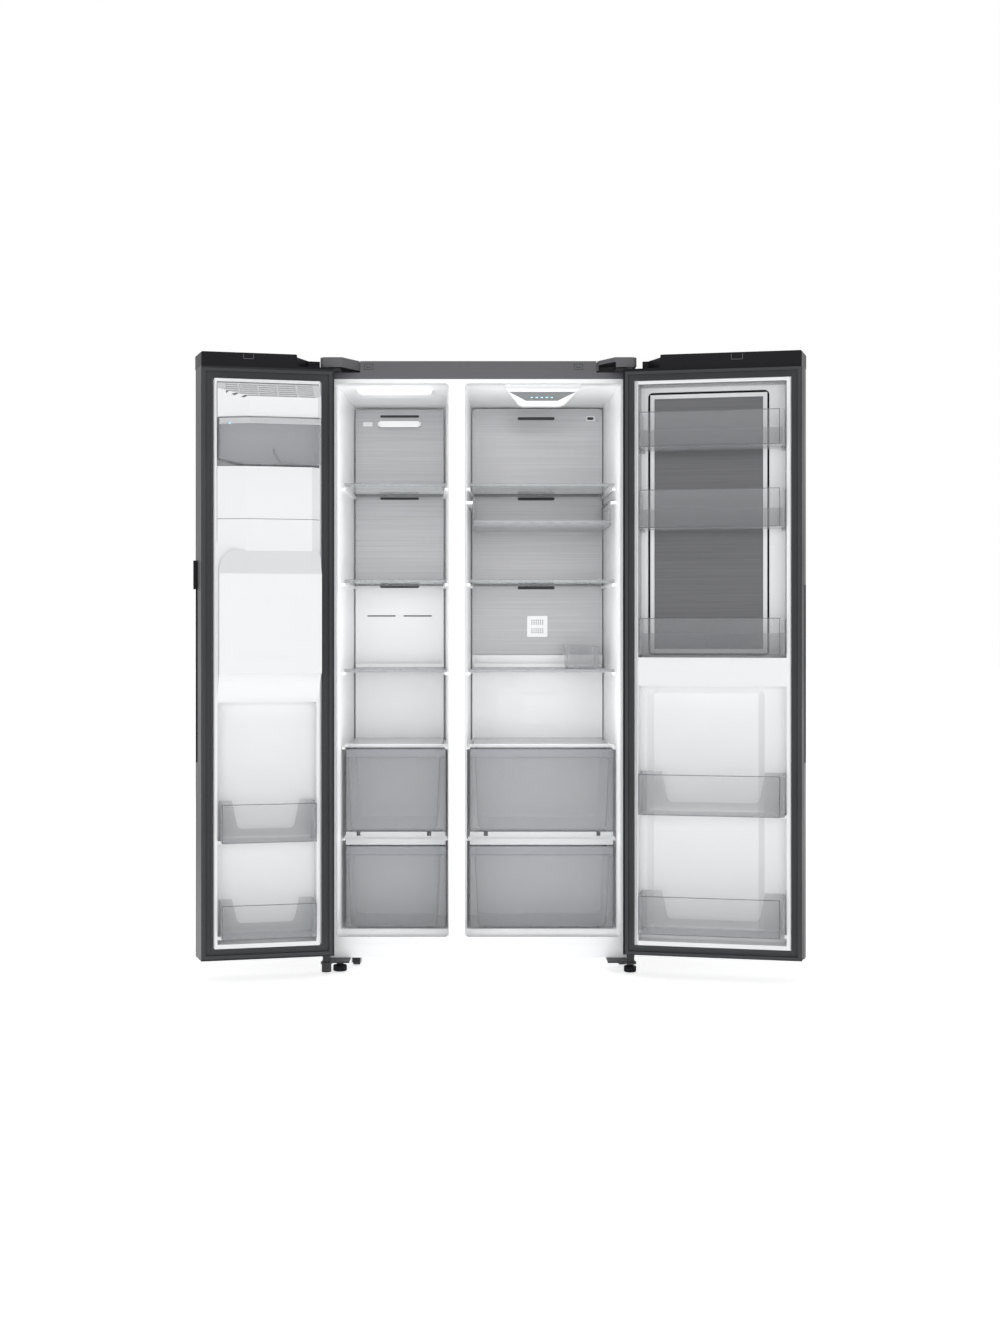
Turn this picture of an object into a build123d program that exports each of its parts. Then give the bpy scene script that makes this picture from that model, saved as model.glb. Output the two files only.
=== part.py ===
"""Side by side refrigerator with a freezer on the left, a refrigerator on the right, an ice maker in the
freezer door and a showcase door behind the right-hand door.

Units are millimetres. +X points to the right of someone facing the cabinet, +Y into the cabinet and +Z up.
The origin is on the floor, in the middle of the cabinet's width, in the plane of the cabinet's front face.
Doors are drawn closed, and turned about their hinge lines to the open rest position when they are written.
"""

from build123d import *
import math
import os

# ---------------------------------------------------------------- driving dimensions
WIDTH = 912.0
BODY_DEPTH = 610.0
HEIGHT = 1780.0
SHELL_TOP = 1746.0
BASE_Z = 37.0
SHEET = 2.0
HALF = WIDTH / 2

FRAME_DEPTH = 10.0
LINER_WALL = 2.5
LINER_BACK = 560.0
CAVITY_Z = (97.0, 1715.0)
FREEZER_X = (-416.0, -87.0)
FREEZER_BACK_X = (-401.0, -108.0)
FRIDGE_X = (-39.0, 418.0)
FRIDGE_BACK_X = (-23.0, 403.0)
PANEL_Y = 525.0
PANEL_THICK = 4.0
STEP_Y = 378.0
STEP_Z = 308.0
MACHINE_Y = 418.0
MACHINE_TOP = 260.0

DOOR_GAP = 12.0
DOOR_THICK = 94.0
DOOR_BACK_Y = -DOOR_GAP
DOOR_FRONT_Y = -DOOR_GAP - DOOR_THICK
DOOR_Z = (61.0, 1738.0)
CAP_TOP = 1779.0
CAP_LOW = 1744.0
CAP_TALL_FROM = 90.0
CAP_MIDDLE = 1770.0
LEFT_FREE_X = -67.0
RIGHT_FREE_X = -59.0
EDGE_SLANT = 12.0
HEM = 6.0
SKIN = 1.5
PIVOT_X = 438.7
PIVOT_Y = -58.0
CAP_KINK_Y = PIVOT_Y - 15.0
PIN_R = 6.0
RUN_CLEAR = 0.08
LEFT_OPEN = 167.3
RIGHT_OPEN = 168.5
CASE_BACK_Y = -62.0
SHOWCASE_Y = -64.0
SURROUND_Y = -46.0
EDGE_BAND = 2.0

LEFT_SEAL = 31.0
RIGHT_SEAL = 27.0
GASKET_BASE = 4.0
GASKET_LIP = 10.0
LIP_CLEAR = 0.5
DAM_Y = 20.0
RECESS_Y = -40.0
DOOR_WALL = 2.5
BIN_Y = (-34.0, 82.0)
BIN_WALL = 2.5

SHELF_Y = (130.0, 515.0)
GLASS = 4.0
SHELF_TOPS = (1435.0, 1146.0, 877.0)
COVER_TOPS = (652.0, 376.0)
DRAWER_Y = 136.0
DRAWER_WALL = 2.5
UPPER_DRAWER_Z = (391.0, 637.0)
LOWER_DRAWER_Z = (101.0, 345.0)
DRAWER_BACK = (500.0, 366.0)

ROLLER_R = 16.5
ROLLER_WIDTH = 21.0
AXLE_R = 4.0

pieces = {}


def keep(name, part):
    """Label a finished piece and list it for writing."""
    part.label = name
    pieces[name] = part


def block(x, y, z, mode=Mode.ADD):
    """A box from its low and high limits along each axis, in the builder that is open."""
    with Locations(((x[0] + x[1]) / 2, (y[0] + y[1]) / 2, (z[0] + z[1]) / 2)):
        Box(x[1] - x[0], y[1] - y[0], z[1] - z[0], mode=mode)


def rod(centre, radius, length, axis=Axis.Z, mode=Mode.ADD):
    """A round bar centred on a point, along one of the three axes."""
    turn = {Axis.X: (0, 90, 0), Axis.Y: (90, 0, 0), Axis.Z: (0, 0, 0)}[axis]
    with Locations(Location(centre, turn)):
        Cylinder(radius, length, mode=mode)


def prism(points, z, mode=Mode.ADD):
    """A plan outline of straight sides, raised between two heights."""
    with BuildSketch(Plane.XY.offset(z[0])) as plan:
        with BuildLine():
            Polyline(*points, close=True)
        make_face()
    extrude(plan.sketch, amount=z[1] - z[0], mode=mode)


def profile_yz(points, x, mode=Mode.ADD):
    """A side outline in Y and Z, extruded between two X positions."""
    with BuildSketch(Plane.YZ.offset(x[0])) as side_view:
        with BuildLine():
            Polyline(*points, close=True)
        make_face()
    extrude(side_view.sketch, amount=x[1] - x[0], mode=mode)


# ---------------------------------------------------------------- cabinet
def cabinet_shell():
    """Bent steel wrapper: two sides, a top and narrow front flanges."""
    with BuildPart() as shell:
        block((-HALF, HALF), (0, BODY_DEPTH - SHEET), (BASE_Z, SHELL_TOP))
        block((-HALF + SHEET, HALF - SHEET), (0, BODY_DEPTH), (BASE_Z - 1, SHELL_TOP - SHEET), Mode.SUBTRACT)
        block((-HALF, HALF), (0, SHEET), (SHELL_TOP - 19, SHELL_TOP))
        for side in (-1, 1):
            limits = sorted((side * HALF, side * (HALF - 12)))
            block(limits, (0, SHEET), (BASE_Z, SHELL_TOP))
    keep("cabinet_shell", shell.part)


def back_panel():
    """Flat rear sheet with an embossed cross-brace pattern of shallow ribs."""
    with BuildPart() as panel:
        block((-HALF, HALF), (BODY_DEPTH - SHEET, BODY_DEPTH), (MACHINE_TOP, SHELL_TOP))
        for x in (-300, -150, 150, 300):
            block((x - 8, x + 8), (BODY_DEPTH, BODY_DEPTH + 2), (420, 1600))
    keep("back_panel", panel.part)


def front_frame():
    """White frame round both openings, with the mullion between them and a sill strip below."""
    with BuildPart() as frame:
        block((-HALF + 12, HALF - 12), (0, FRAME_DEPTH), (BASE_Z, SHELL_TOP - 19))
        for x in (FREEZER_X, FRIDGE_X):
            with BuildSketch(Plane.XZ) as opening:
                with Locations(((x[0] + x[1]) / 2, sum(CAVITY_Z) / 2)):
                    RectangleRounded(x[1] - x[0], CAVITY_Z[1] - CAVITY_Z[0], 12)
            extrude(amount=-FRAME_DEPTH, mode=Mode.SUBTRACT)
        block((-HALF, HALF), (0, 1.0), (77.5, 79.0), Mode.SUBTRACT)
        for x in (FREEZER_X[1] + 0.6, FRIDGE_X[0] - 1.6):
            block((x, x + 1.0), (0, 1.0), CAVITY_Z, Mode.SUBTRACT)
    keep("front_frame", frame.part)


def cavity_outline(front_x, back_x, grow):
    """Plan outline of a food compartment, grown outwards by a wall thickness."""
    return [
        (front_x[0] - grow, FRAME_DEPTH),
        (front_x[1] + grow, FRAME_DEPTH),
        (back_x[1] + grow, LINER_BACK + grow),
        (back_x[0] - grow, LINER_BACK + grow),
    ]


def liner_body(front_x, back_x, grow):
    """One compartment's volume, with the step over the machine compartment taken out."""
    prism(cavity_outline(front_x, back_x, grow), (CAVITY_Z[0] - grow, CAVITY_Z[1] + grow))
    block((-HALF, HALF), (STEP_Y + grow, 700), (0, STEP_Z - grow), Mode.SUBTRACT)


def wall_x(front_x, back_x, side, y):
    """X of a compartment's side wall at a depth."""
    share = (y - FRAME_DEPTH) / (LINER_BACK - FRAME_DEPTH)
    return front_x[side] + share * (back_x[side] - front_x[side])


def shelf_rails(front_x, back_x):
    """Ribs on both side walls that carry the shelves and the drawer covers."""
    for top in SHELF_TOPS + COVER_TOPS:
        floor = top - 11
        rear = SHELF_Y[1] - 8 if top > 400 else STEP_Y - 12
        for side, sign in ((0, 1), (1, -1)):
            near = wall_x(front_x, back_x, side, 170)
            far = wall_x(front_x, back_x, side, rear)
            outline = [
                (near - sign * 1.0, 170),
                (near + sign * 9.0, 170),
                (far + sign * 9.0, rear),
                (far - sign * 1.0, rear),
            ]
            prism(outline, (floor - 8, floor))


RACK_Z = 1308.0
RACK_X = (-18.0, 400.0)


def rack_ledges(front_x, back_x):
    """Ledges on both side walls that the bottle rack's top flanges slide on."""
    for side, sign in ((0, 1), (1, -1)):
        near = wall_x(front_x, back_x, side, 150)
        far = wall_x(front_x, back_x, side, 480)
        edge = RACK_X[side] + sign * 0.5
        outline = [(near - sign, 150), (edge, 150), (edge, 480), (far - sign, 480)]
        prism(outline, (RACK_Z + 66, RACK_Z + 74))


def compartment_liner(name, front_x, back_x, with_rack):
    """Thin white lining of one compartment, open at the front, with shelf rails on its side walls."""
    with BuildPart() as inner:
        liner_body(front_x, back_x, 0)
    with BuildPart() as liner:
        liner_body(front_x, back_x, LINER_WALL)
        add(inner.part, mode=Mode.SUBTRACT)
        shelf_rails(front_x, back_x)
        if with_rack:
            rack_ledges(front_x, back_x)
    keep(name, liner.part)


def insulation_foam():
    """Foam that fills the space between the steel wrapper and both linings."""
    with BuildPart() as cavities:
        liner_body(FREEZER_X, FREEZER_BACK_X, LINER_WALL)
        liner_body(FRIDGE_X, FRIDGE_BACK_X, LINER_WALL)
    with BuildPart() as foam:
        inner_x = (-HALF + SHEET, HALF - SHEET)
        block(inner_x, (FRAME_DEPTH, BODY_DEPTH - SHEET), (BASE_Z + SHEET, SHELL_TOP - SHEET))
        block((-HALF, HALF), (MACHINE_Y, BODY_DEPTH), (BASE_Z, MACHINE_TOP), Mode.SUBTRACT)
        add(cavities.part, mode=Mode.SUBTRACT)
    keep("insulation_foam", foam.part)


def base_pan():
    """Bottom sheet with the raised machine compartment and the four roller forks with their axles."""
    with BuildPart() as pan:
        block((-HALF + SHEET, HALF - SHEET), (FRAME_DEPTH, BODY_DEPTH - SHEET), (BASE_Z, BASE_Z + SHEET))
        block((-HALF + SHEET, HALF - SHEET), (MACHINE_Y, MACHINE_Y + SHEET), (BASE_Z, MACHINE_TOP))
        inner_x = (-HALF + SHEET, HALF - SHEET)
        block(inner_x, (MACHINE_Y, BODY_DEPTH - SHEET), (MACHINE_TOP - SHEET, MACHINE_TOP))
        for x, y, z in ROLLER_AXES:
            for side in (-1, 1):
                cheek = x + side * (ROLLER_WIDTH / 2 + 2.5)
                block((cheek - 1.5, cheek + 1.5), (y - 12, y + 12), (z - 9, BASE_Z + 0.5))
            rod((x, y, z), AXLE_R, ROLLER_WIDTH + 8, Axis.X)
    keep("base_pan", pan.part)


FRONT_ROLLER = (74.0, 18.5)
REAR_ROLLER = (560.0, 16.5)
ROLLER_AXES = (
    (-361.0, *FRONT_ROLLER),
    (426.0, *FRONT_ROLLER),
    (-400.0, *REAR_ROLLER),
    (400.0, *REAR_ROLLER),
)


def rollers(name, axes):
    """A pair of plastic rollers that turn on the axles of the base pan."""
    with BuildPart() as pair:
        for x, y, z in axes:
            rod((x, y, z), ROLLER_R, ROLLER_WIDTH, Axis.X)
        chamfer(pair.edges().filter_by(GeomType.CIRCLE), 1.5)
        for x, y, z in axes:
            rod((x, y, z), AXLE_R + RUN_CLEAR, ROLLER_WIDTH + 2, Axis.X, Mode.SUBTRACT)
    keep(name, pair.part)


FOOT_LEFT = (-404.0, -4.0, 20.0)
FOOT_RIGHT = (441.0, -19.0, 18.0)
BRACKET_Z = (31.0, 36.5)


def levelling_foot(name, x, y, radius):
    """Screw-in foot: a ribbed pad with a threaded stem through the lower hinge bracket."""
    with BuildPart() as foot:
        rod((x, y, 8.5), radius, 17)
        fillet(foot.edges().group_by(Axis.Z)[0], 3)
        fillet(foot.edges().group_by(Axis.Z)[-1], 2)
        with Locations((x, y, 8.5)):
            with PolarLocations(radius, 12):
                Cylinder(1.6, 18, mode=Mode.SUBTRACT)
        rod((x, y, 22), 10.5, 12)
        rod((x, y, 32), 6, 9.5)
    keep(name, foot.part)


def top_cover():
    """Trim along the top front edge of the cabinet, hollow underneath, with two round-cornered key marks."""
    with BuildPart() as cover:
        block((-346, 345), (0, 112), (SHELL_TOP, HEIGHT))
        fillet(cover.edges().filter_by(Axis.X).group_by(Axis.Z)[-1], 3)
        block((-343, 342), (3, 109), (SHELL_TOP, HEIGHT - 3), Mode.SUBTRACT)
        for x in (-321.0, 292.0):
            with BuildSketch(Plane.XZ):
                with Locations((x, SHELL_TOP + 17)):
                    RectangleRounded(26, 17, 4)
                    RectangleRounded(23, 14, 3, mode=Mode.SUBTRACT)
            extrude(amount=-1, mode=Mode.SUBTRACT)
    keep("top_cover", cover.part)


def hinge_cover_outline(side, shrink=0.0):
    """Plan of a hinge cover: square at the back, tapering forward over the hinge pin."""
    points = [
        (-HALF + shrink, 100 - shrink),
        (-HALF + shrink, -61 + shrink),
        (-HALF + 9 + shrink, -70 + shrink),
        (-392 - shrink, -70 + shrink),
        (-347 - shrink, 0 + shrink),
        (-347 - shrink, 100 - shrink),
    ]
    return [(-side * x, y) for x, y in points]


def hinge_covers():
    """Two hollow covers over the top hinges. The right-hand one has a cut-out for the wiring in its front."""
    with BuildPart() as covers:
        for side in (-1, 1):
            prism(hinge_cover_outline(side), (SHELL_TOP + 5.5, HEIGHT))
        fillet(covers.edges().group_by(Axis.Z)[-1], 3)
        for side in (-1, 1):
            prism(hinge_cover_outline(side, 3), (SHELL_TOP + 5, HEIGHT - 3), Mode.SUBTRACT)
        block((346, 396), (-72, 2), (SHELL_TOP, HEIGHT - 13), Mode.SUBTRACT)
        block((HALF - 4, HALF + 1), (-90, 97), (SHELL_TOP, HEIGHT - 26), Mode.SUBTRACT)
    keep("hinge_covers", covers.part)


def door_hinges():
    """Four steel brackets: the top pair with pins pointing down, the lower pair with pins pointing up."""
    with BuildPart() as hinges:
        for side in (-1, 1):
            x = side * PIVOT_X
            inner = side * 398
            edges = sorted((inner, side * (HALF - 5)))
            block(edges, (-54, 92), (SHELL_TOP, SHELL_TOP + 5))
            rod((x, PIVOT_Y + 1, SHELL_TOP + 2.5), 13, 5)
            rod((x, PIVOT_Y, SHELL_TOP - 11), PIN_R, 27)
            low = sorted((side * 374, side * (HALF - 3)))
            block(low, (-52, 50), BRACKET_Z)
            rod((x, PIVOT_Y, sum(BRACKET_Z) / 2), 17, BRACKET_Z[1] - BRACKET_Z[0])
            rod((x, PIVOT_Y, 54), PIN_R, 40)
            rod((x, PIVOT_Y, 47), 11, 21)
            rod((side * 396, 24, BRACKET_Z[0] - 1.5), 6, 5)
        rod((-PIVOT_X, PIVOT_Y, 20), 14, 24)
        for x, y, _ in (FOOT_LEFT, FOOT_RIGHT):
            rod((x, y, sum(BRACKET_Z) / 2), 6 + RUN_CLEAR, 12, mode=Mode.SUBTRACT)
    keep("door_hinges", hinges.part)


# ---------------------------------------------------------------- inside the cabinet
def slot_row(centre_x, zs, width, height, y, mode=Mode.SUBTRACT):
    """Long air slots through a rear panel at several heights."""
    for z in zs:
        with BuildSketch(Plane.XZ.offset(-y + 1)) as slot:
            with Locations((centre_x, z)):
                SlotOverall(width, height)
        extrude(slot.sketch, amount=-PANEL_THICK - 3, mode=mode)


def rear_panels():
    """Brushed metal panels over the evaporators and the white duct panels under them."""
    freezer_x = (-398.0, -113.0)
    fridge_x = (-20.0, 401.0)
    middle = sum(freezer_x) / 2
    with BuildPart() as freezer_metal:
        block(freezer_x, (PANEL_Y, PANEL_Y + PANEL_THICK), (1157, 1706))
        fillet(freezer_metal.edges().filter_by(Axis.Y).group_by(Axis.Z)[-1], 14)
        slot_row(middle, (1686, 1420), 126, 8, PANEL_Y)
        block((middle - 62, middle + 62), (PANEL_Y - 16, PANEL_Y), (1650, 1668))
        block((-372, -344), (PANEL_Y - 3, PANEL_Y), (1654, 1666))
    keep("freezer_metal_panel", freezer_metal.part)

    with BuildPart() as freezer_duct:
        block(freezer_x, (PANEL_Y, PANEL_Y + PANEL_THICK), (STEP_Z + 2, 1156))
        slot_row(middle, (1136,), 128, 11, PANEL_Y)
        for x in (-330.0, -213.0):
            slot_row(x + 16, (1040,), 92, 4, PANEL_Y)
        block(freezer_x, (PANEL_Y, PANEL_Y + 1), (1107, 1108.2), Mode.SUBTRACT)
    keep("freezer_duct_panel", freezer_duct.part)

    middle = sum(fridge_x) / 2
    with BuildPart() as fridge_metal:
        block(fridge_x, (PANEL_Y, PANEL_Y + PANEL_THICK), (915, 1711))
        fillet(fridge_metal.edges().filter_by(Axis.Y).group_by(Axis.Z)[-1], 14)
        slot_row(middle - 4, (1679, 1419, 1131), 120, 10, PANEL_Y)
        slot_row(362, (1679,), 20, 9, PANEL_Y)
    keep("fridge_metal_panel", fridge_metal.part)

    with BuildPart() as fridge_duct:
        block(fridge_x, (PANEL_Y - 5, PANEL_Y + PANEL_THICK), (STEP_Z + 2, 914))
        block((fridge_x[0] + 14, fridge_x[1] - 14), (PANEL_Y - 9, PANEL_Y), (884, 913))
        for z in (640, 690, 745, 790):
            with BuildSketch(Plane.XZ.offset(-(PANEL_Y - 4))):
                with Locations((middle, z)):
                    SlotOverall(120, 5)
            extrude(amount=3.5)
    keep("fridge_duct_panel", fridge_duct.part)


def air_filter():
    """Square odour filter cover with two groups of small holes, clipped on the metal panel."""
    with BuildPart() as grille:
        block((157, 223), (PANEL_Y - 9, PANEL_Y), (972, 1040))
        fillet(grille.edges().filter_by(Axis.Y), 4)
        for z in (1020, 992):
            with BuildSketch(Plane.XZ.offset(-(PANEL_Y - 9))):
                with Locations((190, z)):
                    with GridLocations(7, 6, 6, 3):
                        Circle(1.7)
            extrude(amount=-4, mode=Mode.SUBTRACT)
    keep("air_filter", grille.part)


def lamps():
    """Light covers in both ceilings. The refrigerator's has a sloping face for the display."""
    ceiling = CAVITY_Z[1]
    with BuildPart() as freezer_lamp:
        with BuildSketch(Plane.XY.offset(ceiling)):
            with Locations((-251, 170)):
                Rectangle(228, 90)
        extrude(amount=-13, taper=25)
    keep("freezer_lamp", freezer_lamp.part)

    with BuildPart() as fridge_lamp:
        slope = [(30, ceiling), (30, ceiling - 6), (70, ceiling - 14), (180, ceiling - 40)]
        profile_yz(slope + [(215, ceiling - 40), (230, ceiling)], (78, 302))
        outline = [(72, 20), (140, 240), (240, 240), (308, 20)]
        prism([(0, 0), (500, 0), (500, 400), (0, 400)], (ceiling - 80, ceiling + 1), Mode.INTERSECT)
        prism(outline, (ceiling - 80, ceiling + 1), Mode.INTERSECT)
    keep("fridge_lamp", fridge_lamp.part)


SIDES = {
    "freezer": {
        "glass": (-396.0, -112.0),
        "trim": (-402.0, -95.0),
        "front": FREEZER_X,
        "back": FREEZER_BACK_X,
    },
    "fridge": {
        "glass": (-14.0, 396.0),
        "trim": (-30.0, 408.0),
        "front": FRIDGE_X,
        "back": FRIDGE_BACK_X,
    },
}


def shelves():
    """Glass shelves and the moulded edges that grip them front and back."""
    for side, size in SIDES.items():
        with BuildPart() as glass:
            for top in SHELF_TOPS:
                block(size["glass"], (SHELF_Y[0] + 6, SHELF_Y[1] - 6), (top - GLASS - 2, top - 2))
        keep(f"{side}_shelves", glass.part)
    with BuildPart() as trims:
        for size in SIDES.values():
            for top in SHELF_TOPS:
                block(size["trim"], (SHELF_Y[0], SHELF_Y[0] + 14), (top - 10, top))
                block(size["glass"], (SHELF_Y[1] - 14, SHELF_Y[1]), (top - 10, top + 9))
        fillet(trims.edges().filter_by(Axis.X).group_by(Axis.Y)[0], 2.5)
        for size in SIDES.values():
            for top in SHELF_TOPS:
                groove_y = (SHELF_Y[0] + 6, SHELF_Y[1] - 6)
                block(size["glass"], groove_y, (top - GLASS - 2, top - 2), Mode.SUBTRACT)
    keep("shelf_trims", trims.part)


def drawer_covers():
    """Fixed covers over the drawers. The pair between the drawers has a deep lip, notched for the runners."""
    low = COVER_TOPS[1]
    with BuildPart() as covers:
        for size in SIDES.values():
            glass_x, trim_x = size["glass"], size["trim"]
            for top, back in zip(COVER_TOPS, (SHELF_Y[1], STEP_Y - 10)):
                block(glass_x, (SHELF_Y[0], back), (top - 10, top - 5))
                block(trim_x, (SHELF_Y[0], SHELF_Y[0] + 12), (top - 10, top))
            block((trim_x[0] + 4, trim_x[1] - 4), (SHELF_Y[0], SHELF_Y[0] + 4), (low - 26, low + 13))
            for x in (glass_x[0] + 36, glass_x[1] - 36):
                block((x - 6, x + 6), (SHELF_Y[0] - 1, SHELF_Y[0] + 5), (low, low + 14), Mode.SUBTRACT)
    keep("drawer_covers", covers.part)


def tub_body(x, y, z, grow):
    """A drawer's tub as one solid, narrowing towards its floor, with rounded lower corners."""
    with BuildPart() as tub:
        with BuildSketch(Plane.XZ.offset(-y[0])) as front:
            with BuildLine():
                Polyline((x[0], z[1]), (x[0] + 11, z[0]), (x[1] - 11, z[0]), (x[1], z[1]), close=True)
            make_face()
            fillet(front.vertices().group_by(Axis.Y)[0], 16 - grow)
        extrude(front.sketch, amount=y[0] - y[1])
    return tub.part


def drawer(name, side, z, back, rest):
    """Clear drawer: a tapering tub with a flat front panel and a grip ledge along the front's top edge."""
    size = SIDES[side]
    front = (size["trim"][0] + 4, size["trim"][1] - 3)
    tub = (size["glass"][0] + 2, size["glass"][1] - 2)
    wall = DRAWER_WALL
    outside = tub_body(tub, (DRAWER_Y, back), (z[0] + 2, z[1] - 10), 0)
    inside = (tub[0] + wall, tub[1] - wall)
    hollow = tub_body(inside, (DRAWER_Y + wall, back - wall), (z[0] + 2 + wall, z[1] - 8), wall)
    with BuildPart() as box:
        add(outside)
        block(front, (DRAWER_Y, DRAWER_Y + wall), z)
        block(front, (DRAWER_Y, DRAWER_Y + 5), (z[0], z[0] + 4))
        for rim in ((front[0], front[0] + 5), (front[1] - 5, front[1])):
            block(rim, (DRAWER_Y, DRAWER_Y + 5), z)
        add(hollow, mode=Mode.SUBTRACT)
        block(front, (DRAWER_Y + wall, DRAWER_Y + 20), (z[1] - 26, z[1] - 22))
        for x in (tub[0] + 31, tub[1] - 37):
            block((x, x + 6), (DRAWER_Y + 14, back), (rest + 0.3, z[0] + 3))
    keep(name, box.part)


def bottle_rack():
    """Sliding rack: a wavy clear tray that cradles bottles, hung from a wire at each side."""
    x0, x1 = RACK_X
    pitch = 52.0
    with BuildPart() as rack:
        block((x0 + 8, x1 - 8), (152, 470), (RACK_Z, RACK_Z + 12))
        count = int((x1 - x0 - 30) // pitch)
        for n in range(count):
            x = (x0 + x1) / 2 + (n - (count - 1) / 2) * pitch
            rod((x, 311, RACK_Z + 34), 28, 330, Axis.Y, Mode.SUBTRACT)
        block((x0 + 4, x1 - 4), (146, 152), (RACK_Z, RACK_Z + 16))
        for x in (x0 + 4, x1 - 4):
            for y in (160, 462):
                rod((x, y, RACK_Z + 42), 2.2, 72)
            rod((x, 311, RACK_Z + 78), 2.5, 307, Axis.Y)
            block((x - 3.5, x + 3.5), (150, 468), (RACK_Z + 2, RACK_Z + 9))
        for edge in (x0 + 4, x1 - 18):
            block((edge, edge + 14), (154, 468), (RACK_Z + 3, RACK_Z + 8))
        for edge in (x0 - 5, x1 - 5):
            block((edge, edge + 10), (158, 464), (RACK_Z + 74.3, RACK_Z + 77.5))
    keep("bottle_rack", rack.part)


def utility_box():
    """Small clear box with a rolled rim that stands on the lowest refrigerator shelf."""
    base = SHELF_TOPS[2] - 2 + 0.3
    with BuildPart() as box:
        block((275, 372), (290, 480), (base, base + 68))
        fillet(box.edges().filter_by(Axis.Z), 12)
        fillet(box.edges().group_by(Axis.Z)[0], 8)
        offset(amount=-2, openings=box.faces().sort_by(Axis.Z)[-1])
        with BuildSketch(Plane.XY.offset(base + 65)):
            with Locations((323.5, 385)):
                RectangleRounded(109, 202, 14)
                RectangleRounded(93, 186, 10, mode=Mode.SUBTRACT)
        extrude(amount=3)
    keep("utility_box", box.part)


def fin_coil(x, y, z, fins, mode=Mode.ADD):
    """Tube-and-fin heat exchanger: spaced plates threaded on round tubes."""
    spacing = (x[1] - x[0] - 2) / (fins - 1)
    for n in range(fins):
        block((x[0] + n * spacing, x[0] + n * spacing + 2), y, z, mode)
    rows = max(2, int((z[1] - z[0]) // 40))
    for row in range(rows):
        height = z[0] + (row + 0.5) * (z[1] - z[0]) / rows
        rod(((x[0] + x[1]) / 2, sum(y) / 2, height), 4, x[1] - x[0] + 16, Axis.X, mode)


def cooling_system():
    """Compressor, condenser and the two evaporators."""
    with BuildPart() as compressor:
        rod((120, 508, 118), 72, 120)
        fillet(compressor.edges().group_by(Axis.Z)[-1], 40)
        fillet(compressor.edges().group_by(Axis.Z)[0], 18)
        block((35, 205), (452, 564), (50, 62))
        block((188, 214), (490, 526), (92, 140))
        for x in (48, 192):
            for y in (464, 552):
                rod((x, y, 45), 9, 12)
        rod((90, 508, 190), 4, 60)
        rod((140, 520, 190), 5, 56)
    keep("compressor", compressor.part)

    with BuildPart() as condenser:
        fin_coil((-330, -110), (455, 560), (46, 206), 16)
        block((-330, -110), (455, 560), (39, 47))
    keep("condenser_coil", condenser.part)

    with BuildPart() as evaporators:
        fin_coil((-380, -130), (PANEL_Y + 7, LINER_BACK - 3), (1180, 1420), 14)
        fin_coil((10, 370), (PANEL_Y + 7, LINER_BACK - 3), (960, 1160), 18)
    keep("evaporators", evaporators.part)

    with BuildPart() as drain:
        block((240, 400), (440, 590), (39, 79))
        block((243, 397), (443, 587), (42, 80), Mode.SUBTRACT)
    keep("drain_pan", drain.part)


FAN_CENTRE = (-20.0, 508.0, 128.0)


def condenser_fan():
    """Fan that blows along the machine compartment, on a motor shaft parallel to X."""
    with BuildPart() as fan:
        rod(FAN_CENTRE, 20, 22, Axis.X)
        for n in range(5):
            with Locations(Location(FAN_CENTRE, (n * 72, 0, 0)) * Location((0, 0, 42), (0, 0, 32))):
                Box(3, 40, 52)
        rod(FAN_CENTRE, 4.0 + RUN_CLEAR, 40, Axis.X, Mode.SUBTRACT)
    keep("condenser_fan", fan.part)

    with BuildPart() as motor:
        rod((FAN_CENTRE[0] + 32, FAN_CENTRE[1], FAN_CENTRE[2]), 24, 34, Axis.X)
        rod((FAN_CENTRE[0] + 2, FAN_CENTRE[1], FAN_CENTRE[2]), 4, 40, Axis.X)
        post_y = (FAN_CENTRE[1] - 10, FAN_CENTRE[1] + 10)
        block((FAN_CENTRE[0] + 26, FAN_CENTRE[0] + 38), post_y, (39, FAN_CENTRE[2]))
    keep("fan_motor", motor.part)


def machine_cover():
    """Rear grille over the machine compartment, with the water inlet stub beside the power inlet."""
    with BuildPart() as cover:
        block((-HALF + 4, HALF - 4), (BODY_DEPTH - 6, BODY_DEPTH - 2), (BASE_Z + SHEET, MACHINE_TOP - SHEET))
        with BuildSketch(Plane.XZ.offset(-(BODY_DEPTH - 6))):
            with Locations((0, 150)):
                with GridLocations(62, 22, 11, 7):
                    SlotOverall(46, 8)
        extrude(amount=-6, mode=Mode.SUBTRACT)
        block((300, 400), (BODY_DEPTH - 8, BODY_DEPTH + 2), (196, 244))
        rod((330, BODY_DEPTH + 10, 220), 7.0, 24, Axis.Y)
        block((362, 392), (BODY_DEPTH - 10, BODY_DEPTH + 3), (206, 234))
        block((366, 388), (BODY_DEPTH - 4, BODY_DEPTH + 4), (210, 230), Mode.SUBTRACT)
    keep("machine_cover", cover.part)


# ---------------------------------------------------------------- doors, drawn closed
def slant_x(free_x, sign, y):
    """X of a door's sloping free edge at a depth. The edge leans back towards the hinge at the inner face."""
    return free_x + sign * EDGE_SLANT * (y - DOOR_FRONT_Y) / DOOR_THICK


def door_outline(side, y, inset=0.0):
    """Plan of a door between two depths: straight at the hinge, sloping at the free edge."""
    free_x, sign = (LEFT_FREE_X, -1) if side < 0 else (RIGHT_FREE_X, 1)
    hinge_x = side * (HALF - 1 - inset)
    return [
        (hinge_x, y[0]),
        (slant_x(free_x, sign, y[0]) + sign * inset, y[0]),
        (slant_x(free_x, sign, y[1]) + sign * inset, y[1]),
        (hinge_x, y[1]),
    ]


def outer_edges(builder):
    """The upright edges on a door's outside face."""
    return builder.edges().filter_by(Axis.Z).group_by(Axis.Y)[0]


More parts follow.
